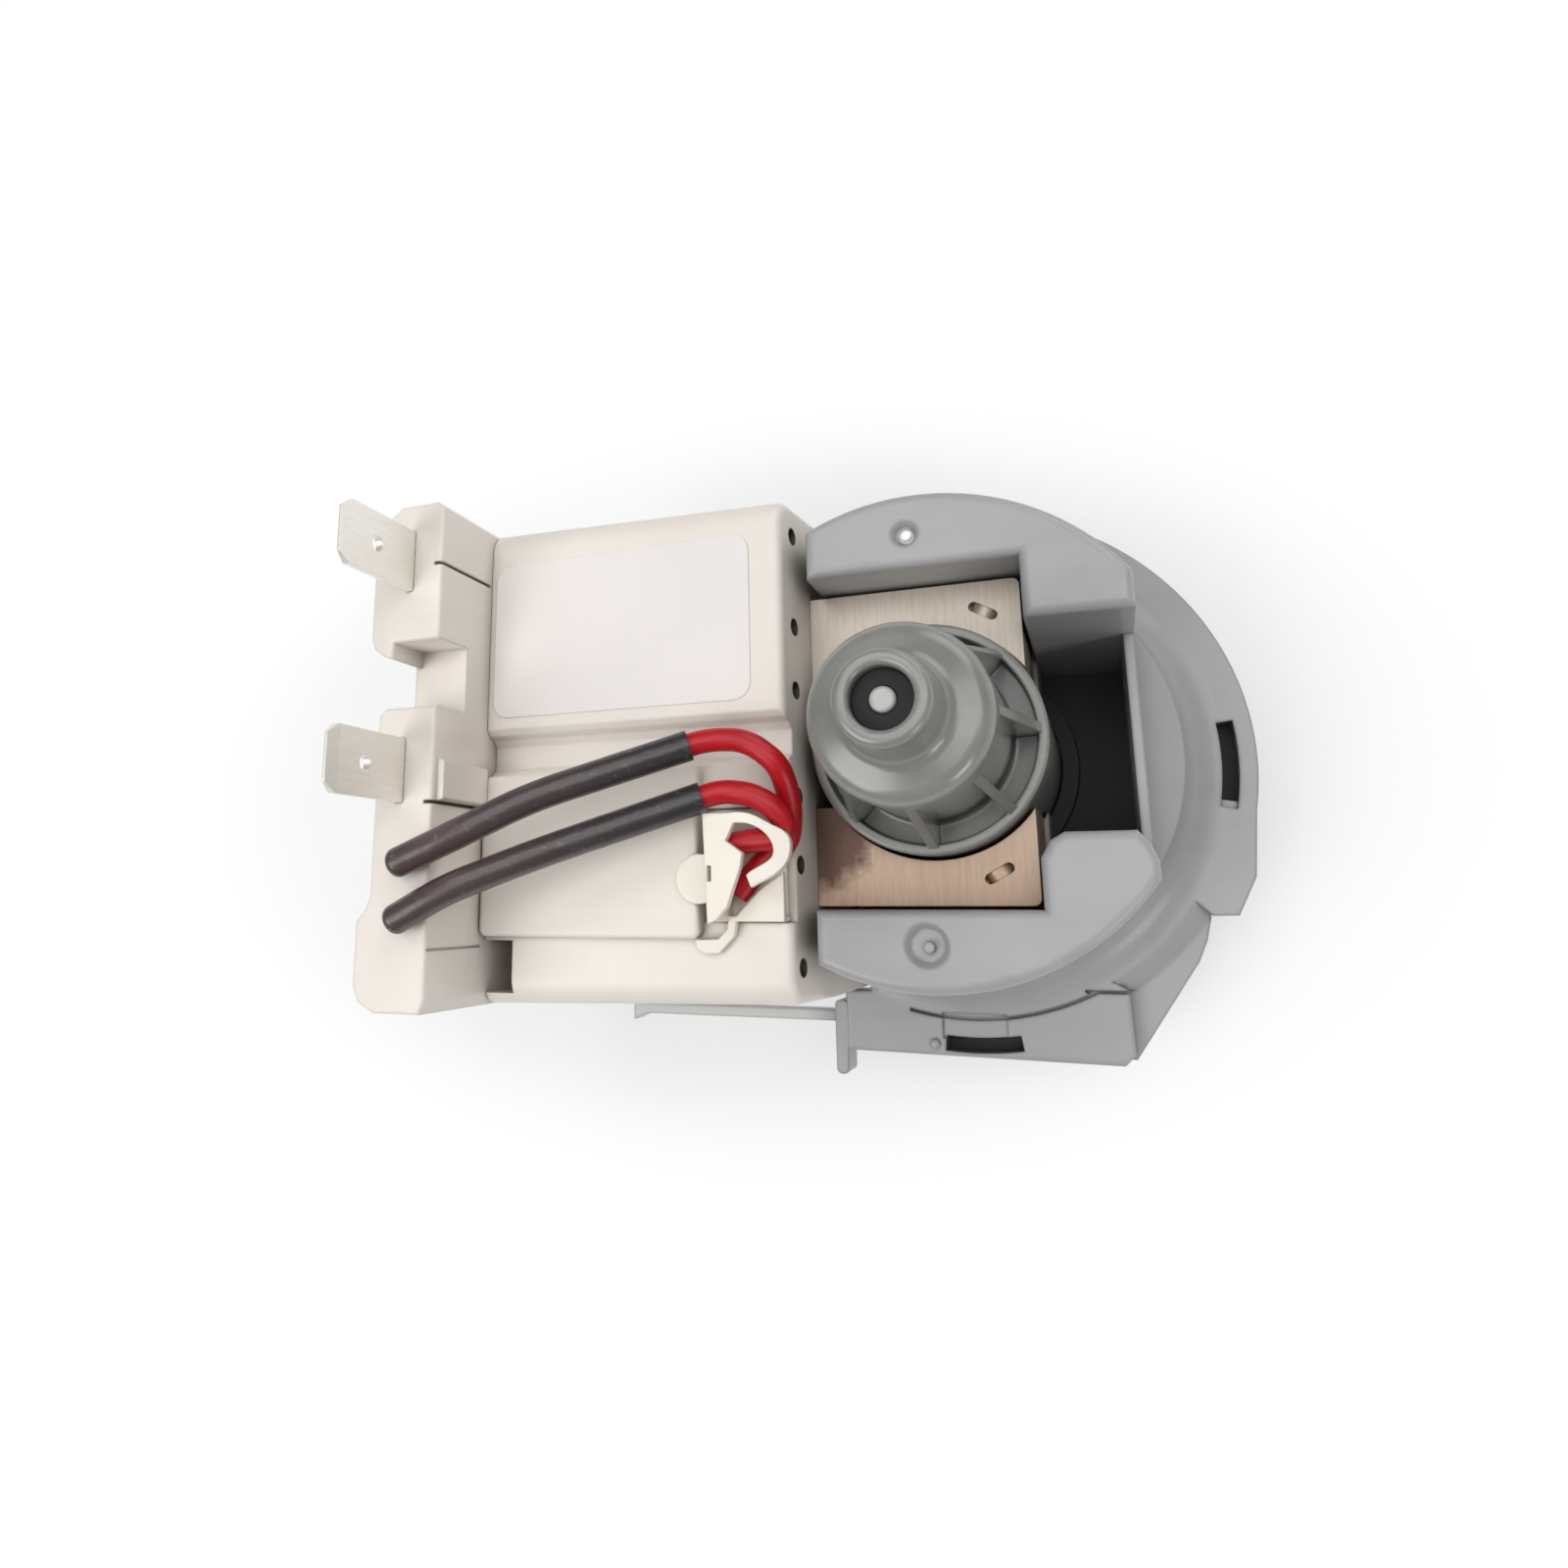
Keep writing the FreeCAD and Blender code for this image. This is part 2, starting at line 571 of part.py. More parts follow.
def bobbin(side):
    # spool on one leg of the core: square tube and two end flanges
    y = side * LEG_Y
    clear = 0.12
    half_y = LEG_WIDTH / 2 + clear
    half_z = CORE_STACK / 2 + clear
    hole = box(COIL_X0 - 1, COIL_X1 + 1, y - half_y, y + half_y, CORE_MID - half_z, CORE_MID + half_z)
    spool = leg_tube(y, half_y + BOBBIN_WALL, half_z + BOBBIN_WALL, COIL_X0, COIL_X1, 0.6)
    back = leg_tube(y, BOBBIN_HALF_Y, BOBBIN_HALF_Z, COIL_X0, COIL_X0 + BOBBIN_FLANGE_T, 3.0)
    front = leg_tube(y, BOBBIN_HALF_Y, BOBBIN_HALF_Z, COIL_X1 - BOBBIN_FLANGE_T, COIL_X1, 3.0)
    return spool.fuse([back, front]).cut(hole)


def winding(side):
    y = side * LEG_Y
    gap = 0.04
    x0 = COIL_X0 + BOBBIN_FLANGE_T + gap
    x1 = COIL_X1 - BOBBIN_FLANGE_T - gap
    inner_y = LEG_WIDTH / 2 + 0.12 + BOBBIN_WALL + gap
    inner_z = CORE_STACK / 2 + 0.12 + BOBBIN_WALL + gap
    outer = leg_tube(y, COIL_HALF_Y, COIL_HALF_Z, x0, x1, 3.6)
    return outer.cut(leg_tube(y, inner_y, inner_z, x0 - 1, x1 + 1, 0.6))


def casing_outer():
    # moulded block, drafted towards the poles, lower below the valley, with rounded edges
    profile = [(CASE_X0, -CASE_HALF_LEFT), (CASE_X1, -CASE_HALF_RIGHT), (CASE_X1, CASE_HALF_RIGHT),
               (CASE_X0, CASE_HALF_LEFT)]
    block = prism(profile, CASE_BOTTOM, CASE_TOP)
    step_z = CASE_TOP - CASE_STEP
    lower = box(CASE_X0 - 1, CASE_X1 + 1, -CASE_HALF_LEFT - 1, -VALLEY_HALF, step_z, CASE_TOP + 1)
    draft = prism_xz([(CASE_X1 - 1.15, CASE_TOP + 1), (CASE_X1 - 1.0, CASE_TOP), (CASE_X1, CORE_TOP),
                      (CASE_X1 + 1, CORE_TOP), (CASE_X1 + 1, CASE_TOP + 1)], 40)
    block = block.cut(lower).cut(draft)
    block = rounded(block, CASE_SIDE_R, top_side)
    return rounded(block, CASE_FACE_R, top_front)


def top_side(edge):
    # the two long edges of the casing's top
    bound = edge.BoundBox
    high = bound.ZMax > CASE_TOP - CASE_STEP - 0.01 and bound.ZLength < 0.01
    return high and bound.XLength > 25 and min(abs(bound.YMin), abs(bound.YMax)) > CASE_HALF_RIGHT - 1


def top_front(edge):
    # the casing's top edges on the side of the poles
    bound = edge.BoundBox
    high = bound.ZMin > CASE_TOP - CASE_STEP - 0.01 and bound.ZLength < 0.01
    return high and bound.YLength > 10 and bound.XMin > CASE_X1 - 2


def prism_xz(points, half_y):
    corners = [V(x, -half_y, z) for x, z in points]
    wire = Part.makePolygon(corners + corners[:1])
    return Part.Face(wire).extrude(V(0, 2 * half_y, 0))


def prism_yz(points, x0, x1):
    corners = [V(x0, y, z) for y, z in points]
    wire = Part.makePolygon(corners + corners[:1])
    return Part.Face(wire).extrude(V(x1 - x0, 0, 0))


def casing_relief():
    # the valley between the coils, the cut-away corner and the clip's tray
    top = CASE_TOP
    left = -VALLEY_HALF - 0.4
    valley = prism_yz([(3.4, top + 1), (2.9, top), (2.3, top - 0.5), (1.9, top - 1.3), (1.2, top - 1.9),
                       (-1.2, top - 1.9), (-VALLEY_HALF, top - 1.2), (left, top - CASE_STEP),
                       (left, top + 1)],
                      CASE_X0 - 1, CASE_X1 + 1)
    corner = box(CASE_X0 - 0.1, CASE_X0 + 3.3, -CASE_HALF_LEFT + 1.2, PAD_Y0 - 0.4, top - 7.5, top + 2)
    tray = box(TRAY_X0, CASE_X1 + 1, TRAY_Y0, TRAY_Y1, TRAY_Z, top + 2)
    return [valley, corner, tray]


def coil_casing():
    shape = casing_outer()
    for cut in casing_relief():
        shape = shape.cut(cut)
    pad = rounded_block(CASE_X0, TRAY_X0 - 0.05, PAD_Y0, PAD_Y1, CASE_TOP - 2, CASE_TOP + PAD_H, 0.8)
    pad = rounded(pad, 0.5, level_at(CASE_TOP + PAD_H))
    shape = shape.fuse(pad)
    gap = FIT_GAP
    hollow = box(CORE_X_BACK - gap, CASE_X1 + 1, -CORE_HALF_WIDTH - gap, -CORE_HALF_WIDTH + LEG_WIDTH + gap,
                 CORE_FLOOR - gap, CORE_TOP + gap)
    mirror = box(CORE_X_BACK - gap, CASE_X1 + 1, CORE_HALF_WIDTH - LEG_WIDTH - gap, CORE_HALF_WIDTH + gap,
                 CORE_FLOOR - gap, CORE_TOP + gap)
    back = box(CORE_X_BACK - gap, CORE_X_BACK + YOKE_WIDTH + gap, -CORE_HALF_WIDTH - gap,
               CORE_HALF_WIDTH + gap, CORE_FLOOR - gap, CORE_TOP + gap)
    shape = shape.cut(hollow.fuse([mirror, back]))
    for side in (1, -1):
        room = leg_tube(side * LEG_Y, BOBBIN_HALF_Y + gap, BOBBIN_HALF_Z + gap, COIL_X0 - gap,
                        COIL_X1 + gap, 3.0)
        shape = shape.cut(room)
    for y in (21.0, 11.6, 5.2, -5.2, -11.6, -21.0):
        vent = Part.makeCylinder(0.85, 6.0, V(CASE_X1 - 5.0, y, CORE_TOP + 4.3), V(1, 0, 0))
        shape = shape.cut(vent)
    for y in (TENON_UPPER_Y, TENON_LOWER_Y):
        half = TENON_W / 2
        shape = shape.cut(box(CASE_X0 - 1, CASE_X0 + TENON_DEPTH, y - half - 0.1, y + half + 0.1,
                              TENON_Z - half * 0.8 - 0.1, TENON_Z + half * 0.8 + 0.1))
    return shape


def terminal_carrier():
    # wall at the coil end that carries the two blade terminals
    right = CASE_X0 - 0.05
    left = WALL_X0
    top_y = CASE_HALF_LEFT + 0.2
    low_y = -CASE_HALF_LEFT - 0.1
    upper = prism([(right, NOTCH_Y1), (right, top_y - 0.8), (right - 0.85, top_y), (left + 3.0, top_y),
                   (left + 1.7, top_y - 1.0), (left, top_y - 4.9), (left, NOTCH_Y1 + 0.7),
                   (left + 0.4, NOTCH_Y1 - 0.5), (left + 1.5, NOTCH_Y1 - 1.3), (left + 2.7, NOTCH_Y1 - 1.7),
                   (left + 2.8, NOTCH_Y1)], WALL_BOTTOM, WALL_TOP)
    recess = box(left + 2.0, right, NOTCH_Y0 - 0.2, NOTCH_Y1 + 0.1, WALL_BOTTOM, WALL_TOP - NOTCH_DEPTH)
    lower = prism([(right, NOTCH_Y0), (left + 2.3, NOTCH_Y0 + 0.1), (left + 1.5, NOTCH_Y0 - 0.6),
                   (left + 1.5, low_y + 10.9), (left + 1.0, low_y + 9.7), (left, low_y + 8.5),
                   (left, low_y + 2.4), (left + 0.7, low_y + 0.9), (left + 2.5, low_y),
                   (right - 0.55, low_y), (right, low_y + 1.2)], WALL_BOTTOM, WALL_TOP)
    shape = upper.fuse([recess, lower])
    shape = rounded(shape, 0.35, level_at(WALL_TOP))
    rib_low = LOWER_TAB_Y - TAB_W / 2
    rib = prism([(right, rib_low + 4.3), (right + 0.8, rib_low + 4.0), (right + 0.8, rib_low + 0.3),
                 (right, rib_low + 0.1)], CASE_TOP + PAD_H + 0.05, WALL_TOP - 0.8)
    shape = shape.fuse(rib)
    for y in (UPPER_TAB_Y - 0.5, rib_low - 0.05):
        shape = shape.cut(box(right - 0.9, right + 1, y - SLIT / 2, y + SLIT / 2,
                              CASE_TOP + 0.2, WALL_TOP + 1))
    shape = shape.cut(box(right - 0.18, right + 1, low_y + 5.8, low_y + 6.05, CASE_TOP, WALL_TOP - 0.3))
    for y in (UPPER_TAB_Y, LOWER_TAB_Y):
        shape = shape.cut(box(TAB_X - TAB_T - TAB_CLEAR, TAB_X + TAB_CLEAR, y - TAB_W / 2 - TAB_CLEAR,
                              y + TAB_W / 2 + TAB_CLEAR, TAB_ROOT_Z - TAB_CLEAR, WALL_TOP + 5))
    for y in (TENON_UPPER_Y, TENON_LOWER_Y):
        half = TENON_W / 2
        shape = shape.fuse(box(right - 0.5, CASE_X0 + TENON_DEPTH - 0.1, y - half, y + half,
                               TENON_Z - half * 0.8, TENON_Z + half * 0.8))
    return shape


def blade_terminal(y):
    # 6.3 mm blade: bevelled tip, small detent hole
    half = TAB_W / 2
    tip = TAB_TIP_Z
    outline = [(y - half, TAB_ROOT_Z), (y + half, TAB_ROOT_Z), (y + half, tip - 1.2), (y + half - 0.9, tip),
               (y - half + 0.9, tip), (y - half, tip - 1.2)]
    blade = prism_yz(outline, TAB_X - TAB_T, TAB_X)
    bevel = 0.28
    front = prism_xz([(TAB_X - bevel, tip), (TAB_X + 1, tip), (TAB_X + 1, tip - 1.5),
                      (TAB_X, tip - 1.4)], 40)
    rear = prism_xz([(TAB_X - TAB_T + bevel, tip), (TAB_X - TAB_T - 1, tip), (TAB_X - TAB_T - 1, tip - 1.5),
                     (TAB_X - TAB_T, tip - 1.4)], 40)
    hole = Part.makeCylinder(TAB_HOLE_R, 4, V(TAB_X - 2, y, TAB_HOLE_Z), V(1, 0, 0))
    return blade.cut(front).cut(rear).cut(hole)


def protector_holder():
    # white clip that lies in the casing's tray; its hook keeps the two leads down
    x0 = TRAY_X0
    y0 = TRAY_Y0
    y1 = TRAY_Y1
    right = CASE_X1 - 1.3
    floor_z = TRAY_Z + 0.1
    ear_z = CASE_TOP + PAD_H + 0.1
    ear_y = (y0 + y1) / 2 - 1.35
    floor = box(x0 + 0.15, right - 0.2, y0 + 0.1, y1 - 0.1, floor_z, floor_z + 0.45)
    wall = box(x0 + 1.85, x0 + 2.75, y0 + 0.1, y1 - 0.9, floor_z, BAND_Z + 0.1)
    ear = disc(2.3, ear_z, ear_z + 0.6, x0 + 0.25, ear_y)
    ear = ear.fuse(box(x0 + 0.25, x0 + 2.35, ear_y - 2.1, ear_y + 2.1, ear_z, ear_z + 0.6))
    lid = prism([(x0 + 3.55, y0 + 0.6), (x0 + 5.85, y0 + 2.9), (right, y0 + 4.5), (right, y0 + 0.1),
                 (x0 + 3.55, y0 + 0.1)], LID_Z, LID_Z + 0.6)
    lid_wall = box(x0 + 1.85, right, y0 + 0.1, y0 + 0.6, floor_z, LID_Z + 0.6)
    foot = prism([(x0 + 3.55, y0 + 0.5), (x0 + 3.3, y0 - 1.2), (x0 + 1.75, y0 - 2.8), (x0 + 0.35, y0 - 2.8),
                  (x0 - 0.4, y0 - 2.4), (x0 - 0.55, y0 - 1.6), (x0 + 1.75, y0 - 1.5), (x0 + 2.65, y0 - 0.6),
                  (x0 + 2.75, y0 + 0.5)], CASE_TOP - 0.65, CASE_TOP + 0.2)
    shape = floor.fuse([wall, ear, lid, lid_wall, foot, hook_plate(), hook_band()])
    slit = box(x0 + 2.1, x0 + 2.5, ear_y - 0.3, ear_y + 1.1, BAND_Z - 1, BAND_Z + 2)
    return shape.cut(slit)


def from_tray(pairs):
    # points of the hook, given from the tray's inner corner
    return [(TRAY_X0 + x, TRAY_Y1 + y) for x, y in pairs]


def smooth(points):
    curve = Part.BSplineCurve()
    curve.interpolate([V(x, y, 0) for x, y in points])
    return curve.toShape()


def hook_plate():
    # roof of the clip, over the ends of the leads
    outline = from_tray([(1.7, -0.85), (4.65, -0.95), (4.65, -1.85), (3.9, -3.4), (5.45, -4.5),
                         (5.25, -5.8), (4.6, -7.5), (4.0, -9.2), (2.95, -10.4), (2.1, -10.75)])
    return prism(outline, BAND_Z, BAND_Z + BAND_T)


def hook_band():
    outer = from_tray([(4.25, -0.9), (6.55, -1.15), (8.35, -2.1), (9.75, -3.05), (9.95, -4.15),
                       (9.4, -5.6), (7.15, -7.1), (6.25, -7.55)])
    inner = from_tray([(5.85, -6.5), (7.65, -5.4), (8.35, -4.7), (8.35, -3.9), (7.65, -2.8),
                       (6.35, -2.0), (4.25, -1.9)])
    lower = Part.makeLine(V(*outer[-1], 0), V(*inner[0], 0))
    close = Part.makeLine(V(*inner[-1], 0), V(*outer[0], 0))
    band = Part.Face(Part.Wire([smooth(outer), lower, smooth(inner), close])).extrude(V(0, 0, BAND_T))
    band.translate(V(0, 0, BAND_Z))
    return band


def thermal_protector():
    x0 = TRAY_X0 + 5.25
    y0 = TRAY_Y0 + 0.7
    return rounded_block(x0, x0 + 2.55, y0, y0 + 1.7, TRAY_Z + 0.6, LID_Z - 0.05, 0.4)


def along(points, radius):
    # straight runs joined by tangent arcs; each arc uses 0.45 of its shorter run
    knots = [V(*p) for p in points]
    edges = []
    start = knots[0]
    for index in range(1, len(knots) - 1):
        here = knots[index]
        back = knots[index - 1] - here
        ahead = knots[index + 1] - here
        run = 0.45 * min(back.Length, ahead.Length)
        back.normalize()
        ahead.normalize()
        turn = math.pi - back.getAngle(ahead)
        arc_radius = run / math.tan(turn / 2)
        print("  arc radius", round(arc_radius, 2))
        middle = (back + ahead)
        middle.normalize()
        centre = here + middle * math.hypot(run, arc_radius)
        first = here + back * run
        last = here + ahead * run
        edges.append(Part.LineSegment(start, first).toShape())
        edges.append(Part.Arc(first, centre - middle * arc_radius, last).toShape())
        start = last
    edges.append(Part.LineSegment(start, knots[-1]).toShape())
    path = Part.Wire(edges)
    heading = knots[1] - knots[0]
    profile = Part.Wire([Part.makeCircle(radius, knots[0], heading)])
    pipe = path.makePipeShell([profile], True, False)
    ratio = pipe.Volume / (math.pi * radius ** 2 * path.Length)
    print("  length", round(path.Length, 1), "volume ratio", round(ratio, 3))
    return pipe


def sleeve(route):
    # shrunk sleeve with a closed round end; the lead runs inside it
    covered = route[:3] + [tuple(0.1 * a + 0.9 * b for a, b in zip(route[2], route[3]))]
    jacket = along(covered, SLEEVE_R).cut(along(covered, SLEEVE_BORE_R))
    start = V(*route[0])
    heading = start - V(*route[1])
    heading.normalize()
    cap = Part.makeCylinder(SLEEVE_R, SLEEVE_R + 0.2, start, heading)
    far = start + heading * (SLEEVE_R + 0.2)
    cap = cap.makeFillet(1.0, [edge for edge in cap.Edges if edge.Curve.TypeId == "Part::GeomCircle"
                               and (edge.Curve.Center - far).Length < 0.01])
    return jacket.fuse(cap)


def upper_route():
    return [
        (-46.6, -11.0, 53.1),
        (-41.0, -8.6, 52.4),
        (-34.5, -5.4, 50.6),
        (-18.6, -0.25, 45.95),
        (-15.0, -0.4, 45.3),
        (-12.3, -2.6, 44.6),
        (-11.9, -4.8, 42.9),
        (-11.9, -7.2, 41.8),
        (-12.3, -9.6, 41.65),
        (-13.9, -10.6, 41.65),
        (-15.8, -12.5, 41.65),
        (-17.3, -14.3, 41.65),
    ]


def lower_route():
    return [
        (-46.5, -16.2, 53.2),
        (-42.0, -13.8, 52.7),
        (-34.0, -10.6, 50.1),
        (-17.4, -5.05, 45.7),
        (-14.7, -5.4, 45.4),
        (-12.8, -6.5, 44.9),
        (-11.8, -7.9, 44.2),
        (-12.5, -9.4, 43.95),
        (-14.9, -9.5, 43.95),
        (-17.4, -9.9, 43.9),
    ]


def build():
    export("sump_base", sump_base())
    export("pump_housing", pump_housing())
    export("rotor_can", rotor_can())
    export("tip_ring", tip_ring())
    export("rear_bearing", rear_bearing())
    export("rear_bearing_cup", rear_bearing_cup())
    export("rotor_magnet", rotor_magnet())
    export("rotor_hub", rotor_hub())
    export("rotor_shaft", rotor_shaft())
    export("bearing_plate", bearing_plate())
    export("front_bearing", front_bearing())
    export("shaft_seal", shaft_seal())
    export("thrust_washer", thrust_washer())
    export("sump_seal", sump_seal())
    export("impeller", impeller())
    export("drive_dog", drive_dog())
    export("impeller_cap", impeller_cap())
    export("stator_core", stator_core())
    export("upper_bobbin", bobbin(1))
    export("lower_bobbin", bobbin(-1))
    export("upper_winding", winding(1))
    export("lower_winding", winding(-1))
    export("coil_casing", coil_casing())
    export("terminal_carrier", terminal_carrier())
    export("upper_terminal", blade_terminal(UPPER_TAB_Y))
    export("lower_terminal", blade_terminal(LOWER_TAB_Y))
    export("protector_holder", protector_holder())
    export("thermal_protector", thermal_protector())
    for name, route in (("upper", upper_route()), ("lower", lower_route())):
        export(name + "_lead", along(route, LEAD_R))
        export(name + "_sleeve", sleeve(route))


build()
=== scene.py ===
import math

import bmesh
import bpy
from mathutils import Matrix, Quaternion, Vector


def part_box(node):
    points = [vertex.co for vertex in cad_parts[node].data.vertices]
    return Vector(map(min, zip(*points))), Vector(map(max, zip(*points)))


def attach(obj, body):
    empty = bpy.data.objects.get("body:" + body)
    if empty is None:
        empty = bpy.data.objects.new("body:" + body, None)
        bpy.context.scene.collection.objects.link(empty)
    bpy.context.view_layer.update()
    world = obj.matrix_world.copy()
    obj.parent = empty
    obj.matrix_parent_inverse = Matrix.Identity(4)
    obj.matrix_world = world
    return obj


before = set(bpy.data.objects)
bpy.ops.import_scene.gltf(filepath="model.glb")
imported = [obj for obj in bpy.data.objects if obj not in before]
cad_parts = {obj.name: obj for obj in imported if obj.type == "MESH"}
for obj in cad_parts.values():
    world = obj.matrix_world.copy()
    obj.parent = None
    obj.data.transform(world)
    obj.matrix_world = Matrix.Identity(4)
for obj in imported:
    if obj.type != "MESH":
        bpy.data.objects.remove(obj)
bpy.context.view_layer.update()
scene = bpy.context.scene
scene.view_settings.view_transform = "Standard"

# Camera. It stands above the tail of the rotor and leans a little towards the
# coils, so that the right faces of the terminal wall and the dome's flank show.
# Its focal length and its middle are in pixels of a picture 1600 pixels wide.
picture_side = 1600
focal_length = 1062.932
middle_x = 681.992
middle_y = 701.553
film_width = 36.0
lean = Vector((0.200631, 0.391864, -0.041920))
camera = bpy.data.objects.new("camera", bpy.data.cameras.new("camera"))
scene.collection.objects.link(camera)
camera.location = (0.014702, -0.015066, 0.135648)
camera.rotation_mode = "QUATERNION"
camera.rotation_quaternion = Quaternion(lean.normalized(), lean.length)
camera.data.sensor_width = film_width
camera.data.lens = focal_length / picture_side * film_width
camera.data.shift_x = (picture_side / 2 - middle_x) / picture_side
camera.data.shift_y = (middle_y - picture_side / 2) / picture_side
camera.data.clip_start = 0.005
scene.camera = camera

# Floor and light. Sheets of white paper on a table, which look pure white except
# where the pump's shadow greys them, in a dim room. Six lamps stand round it, so
# that walls and gaps stay darker than the tops.


def linear(code):
    """An sRGB hex colour as the linear colour that a shader takes."""
    parts = [int(code[i:i + 2], 16) / 255 for i in (1, 3, 5)]
    return tuple(p / 12.92 if p <= 0.04045 else ((p + 0.055) / 1.055) ** 2.4 for p in parts) + (1.0,)


def add(tree, kind, settings=None, values=None, links=None, stops=None):
    """One node with its settings, socket values, incoming links and, on a colour ramp, its stops."""
    node = tree.nodes.new(kind)
    for name, value in (settings or {}).items():
        setattr(node, name, value)
    for name, value in (values or {}).items():
        node.inputs[name].default_value = value
    for name, (source, output) in (links or {}).items():
        tree.links.new(source.outputs[output], node.inputs[name])
    for number, (position, code) in enumerate(stops or ()):
        node.color_ramp.elements[number].position = position
        node.color_ramp.elements[number].color = linear(code)
    return node


def unpainted(name):
    """A new material without any nodes."""
    material = bpy.data.materials.new(name)
    material.use_nodes = True
    material.node_tree.nodes.clear()
    return material


table_half = 2.0
table_top = bpy.data.meshes.new("table_top")
table_top.from_pydata([(-table_half, -table_half, 0), (table_half, -table_half, 0),
                       (table_half, table_half, 0), (-table_half, table_half, 0)], [], [(0, 1, 2, 3)])
floor = bpy.data.objects.new("floor", table_top)
scene.collection.objects.link(floor)

# The paper shows half its glow and half its shadow inside an oval round the pump,
# and glows white beyond it. The oval is given by its half length and half width.
oval_length = 0.067
oval_width = 0.039
oval_shift = (0.52, -0.06, 0.0)
oval_inside = 0.95
oval_outside = 1.40
paper = unpainted("white_paper")
tree = paper.node_tree
seen = add(tree, "ShaderNodeLightPath")
direct = add(tree, "ShaderNodeMath", {"operation": "ADD"},
             links={0: (seen, "Is Camera Ray"), 1: (seen, "Is Glossy Ray")})
any_view = add(tree, "ShaderNodeMath", {"operation": "ADD", "use_clamp": True},
               links={0: (direct, 0), 1: (seen, "Is Transmission Ray")})
spot = add(tree, "ShaderNodeTexCoord")
around = add(tree, "ShaderNodeMapping",
             values={"Scale": (1 / oval_length, 1 / oval_width, 0.0), "Location": oval_shift},
             links={"Vector": (spot, "Object")})
away = add(tree, "ShaderNodeVectorMath", {"operation": "LENGTH"}, links={0: (around, "Vector")})
glowing = add(tree, "ShaderNodeMapRange", {"interpolation_type": "SMOOTHSTEP"},
              {"From Min": oval_inside, "From Max": oval_outside, "To Min": 0.50, "To Max": 1.0},
              {"Value": (away, "Value")})
share = add(tree, "ShaderNodeMath", {"operation": "MULTIPLY"},
            links={0: (any_view, 0), 1: (glowing, "Result")})
sheet = add(tree, "ShaderNodeBsdfDiffuse", values={"Color": (0.86, 0.86, 0.86, 1)})
glow = add(tree, "ShaderNodeEmission", values={"Color": (1, 1, 1, 1), "Strength": 1.0})
both = add(tree, "ShaderNodeMixShader", links={0: (share, 0), 1: (sheet, 0), 2: (glow, 0)})
add(tree, "ShaderNodeOutputMaterial", links={"Surface": (both, 0)})
table_top.materials.append(paper)

room = bpy.data.worlds.new("studio")
scene.world = room
room.use_nodes = True
tree = room.node_tree
tree.nodes.clear()
seen = add(tree, "ShaderNodeLightPath")
air = add(tree, "ShaderNodeBackground", values={"Color": (0.98, 0.99, 1.0, 1), "Strength": 0.157})
white = add(tree, "ShaderNodeBackground", values={"Color": (1, 1, 1, 1), "Strength": 1.0})
mixed = add(tree, "ShaderNodeMixShader", links={0: (seen, "Is Camera Ray"), 1: (air, 0), 2: (white, 0)})
add(tree, "ShaderNodeOutputWorld", links={"Surface": (mixed, 0)})

# Each lamp with its place and width in metres and its power in watts, all aimed
# at the middle of the pump.
pump_middle = Vector((-0.012, 0, 0.03))
for name, place, width, power in (("left_softbox", (-0.252, -0.177, 0.424), 0.28, 1.08),
                                  ("far_softbox", (0.207, 0.390, 0.265), 0.30, 0.64),
                                  ("right_softbox", (0.235, 0.086, 0.463), 0.26, 0.52),
                                  ("overhead_softbox", (0.03, 0.0, 0.530), 0.26, 0.45),
                                  ("small_window", (-0.100, 0.200, 0.470), 0.20, 0.34),
                                  ("edge_card", (0.332, -0.332, 0.201), 0.16, 0.40)):
    lamp = bpy.data.objects.new(name, bpy.data.lights.new(name, "AREA"))
    scene.collection.objects.link(lamp)
    lamp.data.size = width
    lamp.data.energy = power
    lamp.location = place
    lamp.rotation_mode = "QUATERNION"
    lamp.rotation_quaternion = (pump_middle - lamp.location).to_track_quat("-Z", "Y")

# Grey mouldings: the frame with its bayonet flange, and the rotor can. Both are
# injection-moulded filled polypropylene, which sets to a satin skin with faint
# flow marks; painted shade darkens their corners and gaps. Its grit is too fine to see and drawn 0.25 mm.
MM = 0.001

# The sockets of a colour mix: its two tones, and the mixed tone that comes out.
UNDER_TONE = 6
OVER_TONE = 7
MIXED_TONE = 2


